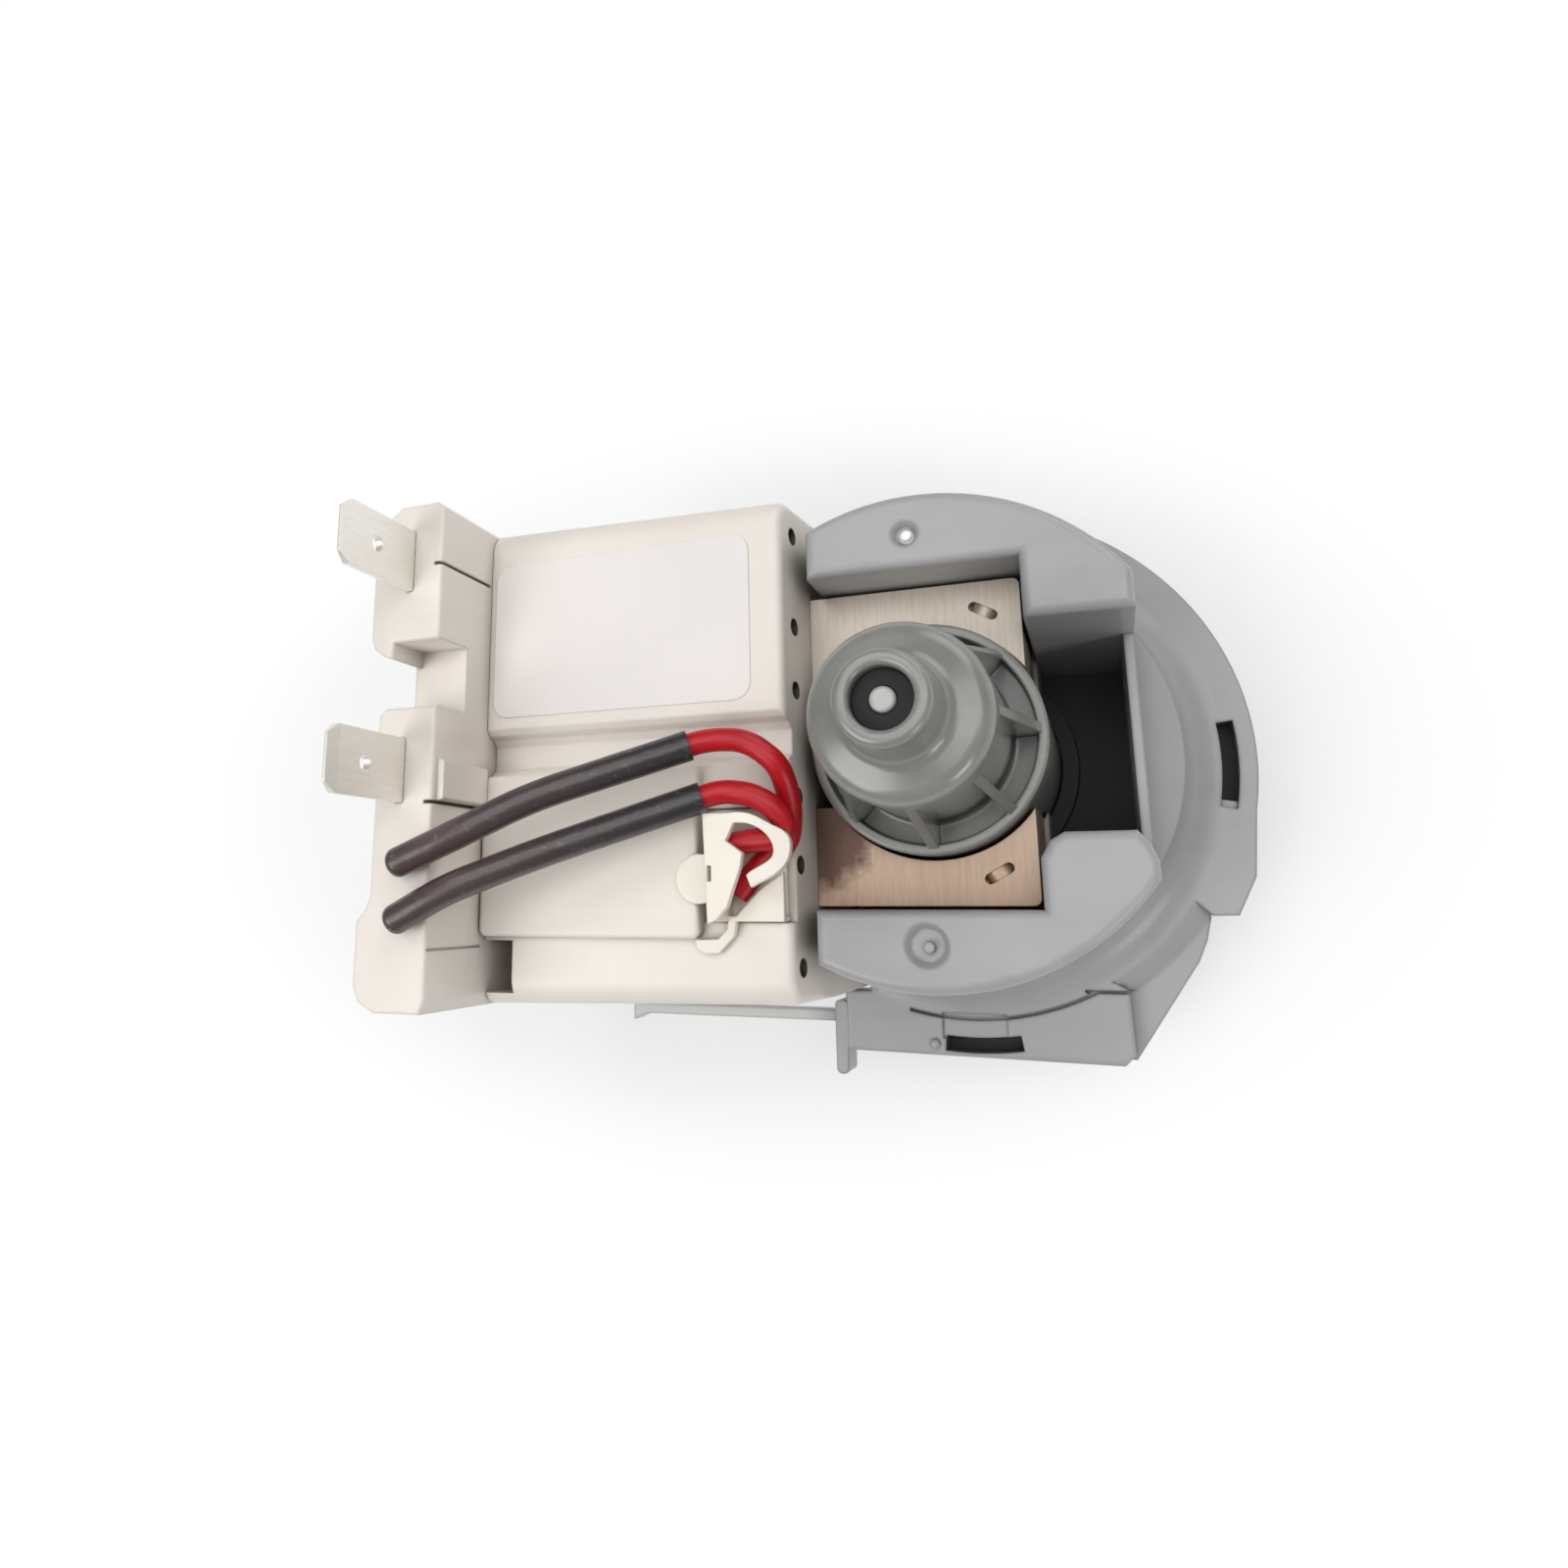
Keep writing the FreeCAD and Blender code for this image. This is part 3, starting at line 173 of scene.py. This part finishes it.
def moulded(name, shade, deep, roughness, mottle, grit, edge, ior=1.49, flow=0.35, bump=0.10,
            subsurface=0.0, crevice_shade=None):
    """Moulded plastic: cloudy pigment, flow marks, grit, softly rounded edges, and painted shade in its
    gaps.

    The sizes mottle, grit and edge are in millimetres.
    """
    crevice_shade_reach = 4.5
    grit_depth = 0.03
    glow_depth = 0.8
    mark_length = 5 * mottle
    material = unpainted(name)
    tree = material.node_tree
    place = add(tree, "ShaderNodeTexCoord")
    cloud = add(tree, "ShaderNodeTexNoise",
                values={"Scale": 1 / (mottle * MM), "Detail": 4.0, "Roughness": 0.6},
                links={"Vector": (place, "Object")})
    pulled = add(tree, "ShaderNodeMapping", values={"Scale": (1.0, 6.0, 0.7), "Rotation": (0.2, 0.1, 0.5)},
                 links={"Vector": (place, "Object")})
    marks = add(tree, "ShaderNodeTexNoise",
                values={"Scale": 1 / (mark_length * MM), "Detail": 2.0, "Distortion": 1.2},
                links={"Vector": (pulled, "Vector")})
    faint = add(tree, "ShaderNodeMath", {"operation": "MULTIPLY"}, {1: flow}, {0: (marks, "Fac")})
    total = add(tree, "ShaderNodeMath", {"operation": "MULTIPLY_ADD", "use_clamp": True}, {1: 1.0 - flow},
                {0: (cloud, "Fac"), 2: (faint, 0)})
    tint = add(tree, "ShaderNodeValToRGB", links={"Fac": (total, 0)}, stops=((0.30, deep), (0.70, shade)))
    body = (tint, "Color")
    # Painted shade: where ambient occlusion finds nearby surfaces, the colour is mixed towards the given
    # dark tone.
    if crevice_shade:
        open_air = add(tree, "ShaderNodeAmbientOcclusion", {"samples": 12}, {"Distance": crevice_shade_reach * MM})
        crevice_shade_share = add(tree, "ShaderNodeMapRange", values={"From Min": 0.70, "From Max": 0.10, "To Max": 0.75},
                   links={"Value": (open_air, "AO")})
        crevice_shaded = add(tree, "ShaderNodeMix", {"data_type": "RGBA"}, {OVER_TONE: linear(crevice_shade)},
                    {0: (crevice_shade_share, "Result"), UNDER_TONE: body})
        body = (crevice_shaded, MIXED_TONE)
    satin = add(tree, "ShaderNodeMapRange", values={"To Min": roughness - 0.05, "To Max": roughness + 0.07},
                links={"Value": (total, 0)})
    grain = add(tree, "ShaderNodeTexNoise", values={"Scale": 1 / (grit * MM), "Detail": 3.0},
                links={"Vector": (place, "Object")})
    soft = add(tree, "ShaderNodeBevel", {"samples": 6}, {"Radius": edge * MM})
    rough = add(tree, "ShaderNodeBump", values={"Strength": bump, "Distance": grit_depth * MM},
                links={"Height": (grain, "Fac"), "Normal": (soft, 0)})
    skin = add(tree, "ShaderNodeBsdfPrincipled",
               values={"IOR": ior, "Subsurface Weight": subsurface, "Subsurface Scale": glow_depth * MM},
               links={"Base Color": body, "Roughness": (satin, "Result"), "Normal": (rough, "Normal")})
    add(tree, "ShaderNodeOutputMaterial", links={"Surface": (skin, 0)})
    return material


def finish(nodes, material):
    """Gives CAD nodes their material."""
    for name in nodes:
        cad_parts[name].data.materials.clear()
        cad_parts[name].data.materials.append(material)


def tinge(material, share, tone):
    """Lays a second tone over a moulding's own colour, as far as the share says."""
    tree = material.node_tree
    skin = next(node for node in tree.nodes if node.type == "BSDF_PRINCIPLED")
    own = skin.inputs["Base Color"].links[0].from_socket
    mixed = add(tree, "ShaderNodeMix", {"data_type": "RGBA"}, {OVER_TONE: linear(tone)}, {0: share})
    tree.links.new(own, mixed.inputs[UNDER_TONE])
    tree.links.new(mixed.outputs[MIXED_TONE], skin.inputs["Base Color"])


def paint_highlight_spot(material, x, y, radius, low, tone):
    """A painted highlight spot on a moulding, round the upright axis at x, y and above the height low, in
    mm.
    """
    soft_rim = 0.25
    tree = material.node_tree
    place = add(tree, "ShaderNodeTexCoord")
    flat = add(tree, "ShaderNodeVectorMath", {"operation": "MULTIPLY_ADD"},
               {1: (1, 1, 0), 2: (-x * MM, -y * MM, 0)}, {0: (place, "Object")})
    away = add(tree, "ShaderNodeVectorMath", {"operation": "LENGTH"}, links={0: (flat, "Vector")})
    disc = add(tree, "ShaderNodeMapRange",
               values={"From Min": radius * MM, "From Max": (radius - soft_rim) * MM},
               links={"Value": (away, "Value")})
    axes = add(tree, "ShaderNodeSeparateXYZ", links={"Vector": (place, "Object")})
    above = add(tree, "ShaderNodeMath", {"operation": "GREATER_THAN"}, {1: low * MM}, {0: (axes, "Z")})
    share = add(tree, "ShaderNodeMath", {"operation": "MULTIPLY"},
                links={0: (disc, "Result"), 1: (above, 0)})
    tinge(material, (share, 0), tone)


# The nib in the frame's upper dish carries a painted highlight, a white spot, and
# the locking arm is thinner and paler than the frame it grows from.
housing = moulded("filled_polypropylene_grey", "#a6a6a6", "#9b9b9b", roughness=0.30, mottle=9.0,
                  grit=0.25, edge=0.5, flow=0.5, bump=0.05, crevice_shade="#3d3d3d")
paint_highlight_spot(housing, x=-0.35, y=18.85, radius=0.75, low=39.5, tone="#f6f6f6")
arm_root = -15.0
arm_pale = -19.0
tree = housing.node_tree
place = add(tree, "ShaderNodeTexCoord")
axes = add(tree, "ShaderNodeSeparateXYZ", links={"Vector": (place, "Object")})
thin = add(tree, "ShaderNodeMapRange", values={"From Min": arm_root * MM, "From Max": arm_pale * MM},
           links={"Value": (axes, "X")})
tinge(housing, (thin, "Result"), "#c4c4c2")
finish(["pump_housing"], housing)

# The can is greener and shinier, and the top of its post carries a painted highlight, a pale disc.
can = moulded("filled_polypropylene_can", "#8b8c87", "#7a7b76", roughness=0.22, mottle=6.0, grit=0.25,
              edge=0.3, ior=1.66, flow=0.5, bump=0.04, crevice_shade="#3a3a36")
paint_highlight_spot(can, x=0.0, y=0.0, radius=1.2, low=55.0, tone="#adada9")
finish(["rotor_can"], can)

# Wet side: the base of black glass-filled nylon, matt from its fibres, and the
# impeller with its clutch cap of charcoal polypropylene, which water polishes to
# a slight shine. All are moulded.
black_nylon = moulded("black_nylon", "#151619", "#0d0e10", roughness=0.58, mottle=2.5, grit=0.25,
                      edge=0.2, ior=1.53)
finish(["sump_base"], black_nylon)
charcoal = moulded("charcoal_polypropylene", "#3b3d40", "#2d2f32", roughness=0.34, mottle=2.0, grit=0.3,
                   edge=0.15)
finish(["impeller", "impeller_cap"], charcoal)

# Coil casing and terminal wall: cream PBT moulded over the coils, matt from a
# spark-eroded tool, with the slight warm clouding that this resin has, and painted
# shade in its gaps. The bores of its six vents are painted dark brown as shade.
cream = moulded("moulded_pbt_cream", "#e8e2da", "#e1d9d0", roughness=0.46, mottle=8.0, grit=0.22,
                edge=0.4, ior=1.57, flow=0.4, bump=0.08, crevice_shade="#6a5d50")
vent_rows = (21.0, 11.6, 5.2)
vent_height = 38.7
vent_radius = 0.90
vent_middle = -14.05
vent_reach = 2.5
tree = cream.node_tree
place = add(tree, "ShaderNodeTexCoord")
axes = add(tree, "ShaderNodeSeparateXYZ", links={"Vector": (place, "Object")})
side = add(tree, "ShaderNodeMath", {"operation": "ABSOLUTE"}, links={0: (axes, "Y")})
across = []
for row in vent_rows:
    shifted = add(tree, "ShaderNodeMath", {"operation": "SUBTRACT"}, {1: row * MM}, {0: (side, 0)})
    across.append(add(tree, "ShaderNodeMath", {"operation": "ABSOLUTE"}, links={0: (shifted, 0)}))
outer = add(tree, "ShaderNodeMath", {"operation": "MINIMUM"}, links={0: (across[0], 0), 1: (across[1], 0)})
nearest = add(tree, "ShaderNodeMath", {"operation": "MINIMUM"}, links={0: (outer, 0), 1: (across[2], 0)})
height = add(tree, "ShaderNodeMath", {"operation": "SUBTRACT"}, {1: vent_height * MM}, {0: (axes, "Z")})
radial = add(tree, "ShaderNodeCombineXYZ", links={"X": (nearest, 0), "Y": (height, 0)})
away = add(tree, "ShaderNodeVectorMath", {"operation": "LENGTH"}, links={0: (radial, "Vector")})
within = add(tree, "ShaderNodeMath", {"operation": "LESS_THAN"}, {1: vent_radius * MM}, {0: (away, "Value")})
inside = add(tree, "ShaderNodeMath", {"operation": "COMPARE"}, {1: vent_middle * MM, 2: vent_reach * MM},
             {0: (axes, "X")})
# Painted shade: the vent bores are tinted dark brown.
vent_shade = add(tree, "ShaderNodeMath", {"operation": "MULTIPLY"}, links={0: (within, 0), 1: (inside, 0)})
tinge(cream, (vent_shade, 0), "#42382f")
finish(["coil_casing", "terminal_carrier"], cream)

# Blank rating label: a plain polyester sticker with round corners, stuck into a
# shallow seat on the upper block of the casing, smooth and a little shinier than
# the casing round it.
casing_low, casing_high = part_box("coil_casing")
label_margin = 0.7 * MM
label_left = casing_low.x + label_margin
label_right = -15.6 * MM
label_front = 4.1 * MM
label_back = 20.9 * MM
seat_depth = 0.7 * MM
seat_clearance = 0.01 * MM
label_under = casing_high.z - seat_depth + seat_clearance
label_corner = 1.8 * MM
label_thickness = 0.10 * MM
corner_steps = 8
rim = []
for cx, cy, turn in ((label_right - label_corner, label_back - label_corner, 0),
                     (label_left + label_corner, label_back - label_corner, 90),
                     (label_left + label_corner, label_front + label_corner, 180),
                     (label_right - label_corner, label_front + label_corner, 270)):
    for step in range(corner_steps + 1):
        angle = math.radians(turn + step * 90 / corner_steps)
        rim.append((cx + label_corner * math.cos(angle), cy + label_corner * math.sin(angle)))
sticker = bmesh.new()
face = sticker.faces.new([sticker.verts.new((x, y, label_under)) for x, y in rim])
raised = bmesh.ops.extrude_face_region(sticker, geom=[face])["geom"]
raised_verts = [item for item in raised if isinstance(item, bmesh.types.BMVert)]
bmesh.ops.translate(sticker, verts=raised_verts, vec=(0, 0, label_thickness))
bmesh.ops.recalc_face_normals(sticker, faces=sticker.faces)
label_mesh = bpy.data.meshes.new("blank_label")
sticker.to_mesh(label_mesh)
sticker.free()
label = bpy.data.objects.new("blank_label", label_mesh)
scene.collection.objects.link(label)
polyester = moulded("polyester_sticker", "#e6e1de", "#e2ddda", roughness=0.42, mottle=8.0, grit=0.5,
                    edge=0.05, ior=1.60, bump=0.03)
label_mesh.materials.append(polyester)
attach(label, "stator")

# Core: 0.5 mm electrical sheets punched and locked into a stack. The cut faces
# show the sheets as lines, the flat faces a rolling grain, drawn 0.22 mm to show.
# Their tint varies in a faint cloud, and painted shade and reflection make them darker and pinker towards
# the lower pole.
sheet_thickness = 0.5
rolling_grain = 0.22
anneal_cloud = 5.0
pole_shade_from = -14
pole_shade_to = 16
punched_edge = 0.12
sheet_relief = 0.03
flat_face = 0.5
steel = unpainted("punched_electrical_steel")
tree = steel.node_tree
place = add(tree, "ShaderNodeTexCoord")
axes = add(tree, "ShaderNodeSeparateXYZ", links={"Vector": (place, "Object")})
facing = add(tree, "ShaderNodeNewGeometry")
up = add(tree, "ShaderNodeSeparateXYZ", links={"Vector": (facing, "Normal")})
flat = add(tree, "ShaderNodeMath", {"operation": "ABSOLUTE"}, links={0: (up, "Z")})
is_cut = add(tree, "ShaderNodeMath", {"operation": "LESS_THAN"}, {1: flat_face}, {0: (flat, 0)})
sheets = add(tree, "ShaderNodeMath", {"operation": "MULTIPLY"}, {1: 2 * math.pi / (sheet_thickness * MM)},
             {0: (axes, "Z")})
lines = add(tree, "ShaderNodeMath", {"operation": "SINE"}, links={0: (sheets, 0)})
seam = add(tree, "ShaderNodeMapRange",
           values={"From Min": -1.0, "From Max": -0.4, "To Min": 0.35, "To Max": 1.0},
           links={"Value": (lines, 0)})
drawn = add(tree, "ShaderNodeMapping", values={"Scale": (1.0, 0.06, 1.0)},
            links={"Vector": (place, "Object")})
grain = add(tree, "ShaderNodeTexNoise",
            values={"Scale": 1 / (rolling_grain * MM), "Detail": 4.0, "Roughness": 0.7},
            links={"Vector": (drawn, "Vector")})
# Painted shade and reflection: lower y gives the darker, pinker end of the tint ramp.
pole_shade = add(tree, "ShaderNodeMapRange",
             values={"From Min": pole_shade_from * MM, "From Max": pole_shade_to * MM},
             links={"Value": (axes, "Y")})
cloud = add(tree, "ShaderNodeTexNoise", values={"Scale": 1 / (anneal_cloud * MM), "Detail": 3.0},
            links={"Vector": (place, "Object")})
tint_and_pole_shade = add(tree, "ShaderNodeMath", {"operation": "MULTIPLY_ADD"}, {1: 0.35},
           {0: (cloud, "Fac"), 2: (pole_shade, "Result")})
tint = add(tree, "ShaderNodeValToRGB", links={"Fac": (tint_and_pole_shade, 0)},
           stops=((0.15, "#b49a85"), (1.0, "#bdb3a7")))
scored = add(tree, "ShaderNodeMapRange",
             values={"From Min": 0.3, "From Max": 0.7, "To Min": 0.86, "To Max": 1.06},
             links={"Value": (grain, "Fac")})
pattern = add(tree, "ShaderNodeMix", {"data_type": "FLOAT"},
              links={0: (is_cut, 0), 2: (scored, "Result"), 3: (seam, "Result")})

# A ragged dark brown patch of painted shade lies on the lower pole beside the can,
# where the can and the casing shade it.
shade_patch_x = -11.0
shade_patch_y = -8.5
shade_patch_fray = 2.4
shade_patch_ragged = 5.0
shade_patch_edge = 8.2
shade_patch_full = 6.2
shade_patch_offset = add(tree, "ShaderNodeVectorMath", {"operation": "MULTIPLY_ADD"},
           {1: (1.0, 1.0, 0.0), 2: (-shade_patch_x * MM, -shade_patch_y * MM, 0.0)}, {0: (place, "Object")})
from_shade_patch = add(tree, "ShaderNodeVectorMath", {"operation": "LENGTH"}, links={0: (shade_patch_offset, "Vector")})
ragged = add(tree, "ShaderNodeTexNoise",
             values={"Scale": 1 / (shade_patch_fray * MM), "Detail": 4.0, "Roughness": 0.6},
             links={"Vector": (place, "Object")})
frayed = add(tree, "ShaderNodeMath", {"operation": "MULTIPLY_ADD"}, {1: shade_patch_ragged * MM},
             {0: (ragged, "Fac"), 2: (from_shade_patch, "Value")})
shade_patch = add(tree, "ShaderNodeMapRange",
            values={"From Min": shade_patch_edge * MM, "From Max": shade_patch_full * MM, "To Max": 0.85},
            links={"Value": (frayed, 0)})
shade_patched = add(tree, "ShaderNodeMix", {"data_type": "RGBA"}, {OVER_TONE: linear("#553a30")},
                {0: (shade_patch, "Result"), UNDER_TONE: (tint, "Color")})
shaded = add(tree, "ShaderNodeVectorMath", {"operation": "SCALE"},
             links={0: (shade_patched, MIXED_TONE), "Scale": (pattern, 0)})
soft = add(tree, "ShaderNodeBevel", {"samples": 4}, {"Radius": punched_edge * MM})
rough = add(tree, "ShaderNodeBump", values={"Strength": 0.25, "Distance": sheet_relief * MM},
            links={"Height": (pattern, 0), "Normal": (soft, 0)})
skin = add(tree, "ShaderNodeBsdfPrincipled", values={"Metallic": 0.6, "Roughness": 0.44},
           links={"Base Color": (shaded, "Vector"), "Normal": (rough, "Normal")})
add(tree, "ShaderNodeOutputMaterial", links={"Surface": (skin, 0)})
finish(["stator_core"], steel)

# Blade terminals of stamped tinned brass, dulled by oxide and so not wholly
# metallic, shaft and thrust washer of ground steel, and the protector's can of
# lacquered steel. The fine scores of their making are drawn coarse enough to show.


def metal(name, shade, deep, roughness, score, stretch, edge, bare=1.0):
    """Bare or tinned metal with scores along one direction. The sizes score and edge are in mm."""
    score_depth = 0.02
    material = unpainted(name)
    tree = material.node_tree
    place = add(tree, "ShaderNodeTexCoord")
    drawn = add(tree, "ShaderNodeMapping", values={"Scale": stretch}, links={"Vector": (place, "Object")})
    grain = add(tree, "ShaderNodeTexNoise",
                values={"Scale": 1 / (score * MM), "Detail": 4.0, "Roughness": 0.65},
                links={"Vector": (drawn, "Vector")})
    tint = add(tree, "ShaderNodeValToRGB", links={"Fac": (grain, "Fac")}, stops=((0.3, deep), (0.7, shade)))
    dull = add(tree, "ShaderNodeMapRange", values={"To Min": roughness - 0.08, "To Max": roughness + 0.1},
               links={"Value": (grain, "Fac")})
    soft = add(tree, "ShaderNodeBevel", {"samples": 4}, {"Radius": edge * MM})
    rough = add(tree, "ShaderNodeBump", values={"Strength": 0.15, "Distance": score_depth * MM},
                links={"Height": (grain, "Fac"), "Normal": (soft, 0)})
    skin = add(tree, "ShaderNodeBsdfPrincipled", values={"Metallic": bare},
               links={"Base Color": (tint, "Color"), "Roughness": (dull, "Result"),
                      "Normal": (rough, "Normal")})
    add(tree, "ShaderNodeOutputMaterial", links={"Surface": (skin, 0)})
    return material


tinned_brass = metal("tinned_brass", "#fbf8f2", "#f3efe7", roughness=0.44, score=0.3,
                     stretch=(1.0, 1.0, 0.08), edge=0.15, bare=0.75)
finish(["upper_terminal", "lower_terminal"], tinned_brass)
ground_steel = metal("ground_steel", "#cfcfce", "#b4b4b4", roughness=0.22, score=0.15,
                     stretch=(1.0, 1.0, 3.0), edge=0.08)
finish(["rotor_shaft", "thrust_washer"], ground_steel)
lacquered_steel = metal("lacquered_steel", "#5a5a58", "#444442", roughness=0.40, score=0.4,
                        stretch=(1.0, 1.0, 1.0), edge=0.1)
finish(["thermal_protector"], lacquered_steel)

# Clip: white polyamide, moulded thin, a little translucent, snapped into the
# casing's tray over the leads.
polyamide = moulded("white_polyamide", "#f1ebdf", "#e9e2d5", roughness=0.34, mottle=4.0, grit=0.3,
                    edge=0.25, ior=1.53, subsurface=0.12, bump=0.06)
finish(["protector_holder"], polyamide)

# Leads: stranded wire in red silicone rubber, extruded, which looks satin and a
# bit dusty. They run from the sleeves into the clip's hook.
silicone = moulded("red_silicone", "#bd1420", "#a30f1a", roughness=0.36, mottle=3.0, grit=0.3,
                   edge=0.1, ior=1.43, flow=0.2, bump=0.08)
finish(["upper_lead", "lower_lead"], silicone)

# Sleeves: polyolefin shrunk over the leads with its end closed. Shrinking leaves
# a dark brown-black skin with long soft wrinkles and pale scuffs. Painted light
# makes the skin lighter and browner towards the closed ends and blacker towards the leads.
wrinkle_width = 1.1
wrinkle_depth = 0.14
scuff_width = 0.8
lit_end = -40
dark_end = -18
shrunk = unpainted("shrunk_polyolefin")
tree = shrunk.node_tree
place = add(tree, "ShaderNodeTexCoord")
drawn = add(tree, "ShaderNodeMapping", values={"Scale": (0.35, 1.0, 1.0), "Rotation": (0.0, 0.25, -0.35)},
            links={"Vector": (place, "Object")})
wrinkle = add(tree, "ShaderNodeTexNoise",
              values={"Scale": 1 / (wrinkle_width * MM), "Detail": 3.0, "Distortion": 0.6},
              links={"Vector": (drawn, "Vector")})
scuff = add(tree, "ShaderNodeTexNoise",
            values={"Scale": 1 / (scuff_width * MM), "Detail": 6.0, "Roughness": 0.75},
            links={"Vector": (place, "Object")})
worn = add(tree, "ShaderNodeMapRange", values={"From Min": 0.58, "From Max": 0.72, "To Max": 0.5},
           links={"Value": (scuff, "Fac")})
axes = add(tree, "ShaderNodeSeparateXYZ", links={"Vector": (place, "Object")})
# Painted light: the tone runs from lighter brown at the closed ends to near black towards the leads.
painted_end_light = add(tree, "ShaderNodeMapRange", values={"From Min": lit_end * MM, "From Max": dark_end * MM},
             links={"Value": (axes, "X")})
lit_to_dark = add(tree, "ShaderNodeMix", {"data_type": "RGBA"},
              {UNDER_TONE: linear("#4a3b3b"), OVER_TONE: linear("#252326")}, {0: (painted_end_light, "Result")})
scuffed = add(tree, "ShaderNodeMix", {"data_type": "RGBA"}, {OVER_TONE: linear("#8d8384")},
              {0: (worn, "Result"), UNDER_TONE: (lit_to_dark, MIXED_TONE)})
dull = add(tree, "ShaderNodeMapRange", values={"To Min": 0.26, "To Max": 0.42},
           links={"Value": (wrinkle, "Fac")})
rough = add(tree, "ShaderNodeBump", values={"Strength": 0.55, "Distance": wrinkle_depth * MM},
            links={"Height": (wrinkle, "Fac")})
skin = add(tree, "ShaderNodeBsdfPrincipled",
           values={"IOR": 1.54, "Coat Weight": 0.25, "Coat Roughness": 0.30},
           links={"Base Color": (scuffed, MIXED_TONE), "Roughness": (dull, "Result"),
                  "Normal": (rough, "Normal")})
add(tree, "ShaderNodeOutputMaterial", links={"Surface": (skin, 0)})
finish(["upper_sleeve", "lower_sleeve"], shrunk)

# Rubber: the ring round the dome's tip, the sump's ring seal, the rear bush's
# cup and the shaft seal. Black EPDM, pressed, matt and slightly dusty.
rubber = moulded("black_epdm", "#161515", "#0e0d0d", roughness=0.62, mottle=1.2, grit=0.2, edge=0.12,
                 ior=1.45, flow=0.2, bump=0.2)
finish(["tip_ring", "sump_seal", "rear_bearing_cup", "shaft_seal"], rubber)

# Bushes of pressed carbon, and the ring magnet of sintered ferrite: both dark,
# granular and faintly metallic.
carbon = moulded("pressed_carbon", "#343436", "#222224", roughness=0.38, mottle=0.6, grit=0.12,
                 edge=0.1, ior=1.9, flow=0.0, bump=0.2)
finish(["rear_bearing", "front_bearing"], carbon)
ferrite = moulded("sintered_ferrite", "#3b3a3b", "#2a292b", roughness=0.45, mottle=0.8, grit=0.1,
                  edge=0.15, ior=2.1, flow=0.0, bump=0.25)
finish(["rotor_magnet"], ferrite)

# Hub, drive dog and the plate that closes the can: natural acetal and PPS,
# moulded, smooth and slightly translucent.
acetal = moulded("natural_acetal", "#eeeae0", "#e2dccf", roughness=0.32, mottle=2.0, grit=0.3,
                 edge=0.12, ior=1.48, subsurface=0.1)
finish(["rotor_hub", "drive_dog"], acetal)
pps = moulded("beige_pps", "#b9a988", "#a59573", roughness=0.42, mottle=1.5, grit=0.2, edge=0.15, ior=1.6)
finish(["bearing_plate"], pps)

# Bobbins and windings: black PBT spools, each full of enamelled copper wire laid
# side by side. The turns run round the legs, drawn 0.35 mm apart.
black_pbt = moulded("black_pbt", "#242424", "#181818", roughness=0.44, mottle=2.0, grit=0.25,
                    edge=0.15, ior=1.57)
finish(["upper_bobbin", "lower_bobbin"], black_pbt)
wire_pitch = 0.35
wire_relief = 0.12
copper = unpainted("enamelled_copper_wire")
tree = copper.node_tree
place = add(tree, "ShaderNodeTexCoord")
axes = add(tree, "ShaderNodeSeparateXYZ", links={"Vector": (place, "Object")})
pitch = add(tree, "ShaderNodeMath", {"operation": "MULTIPLY"}, {1: math.pi / (wire_pitch * MM)},
            {0: (axes, "X")})
wave = add(tree, "ShaderNodeMath", {"operation": "SINE"}, links={0: (pitch, 0)})
turns = add(tree, "ShaderNodeMath", {"operation": "ABSOLUTE"}, links={0: (wave, 0)})
# Painted shade: each turn is bright copper on its crown and dark brown in the valleys between turns.
tint = add(tree, "ShaderNodeValToRGB", links={"Fac": (turns, 0)}, stops=((0.0, "#4a1e0e"), (0.6, "#c2642f")))
rough = add(tree, "ShaderNodeBump", values={"Strength": 0.8, "Distance": wire_relief * MM},
            links={"Height": (turns, 0)})
skin = add(tree, "ShaderNodeBsdfPrincipled", values={"Metallic": 0.9, "Roughness": 0.3, "Coat Weight": 0.5},
           links={"Base Color": (tint, "Color"), "Normal": (rough, "Normal")})
add(tree, "ShaderNodeOutputMaterial", links={"Surface": (skin, 0)})
finish(["upper_winding", "lower_winding"], copper)
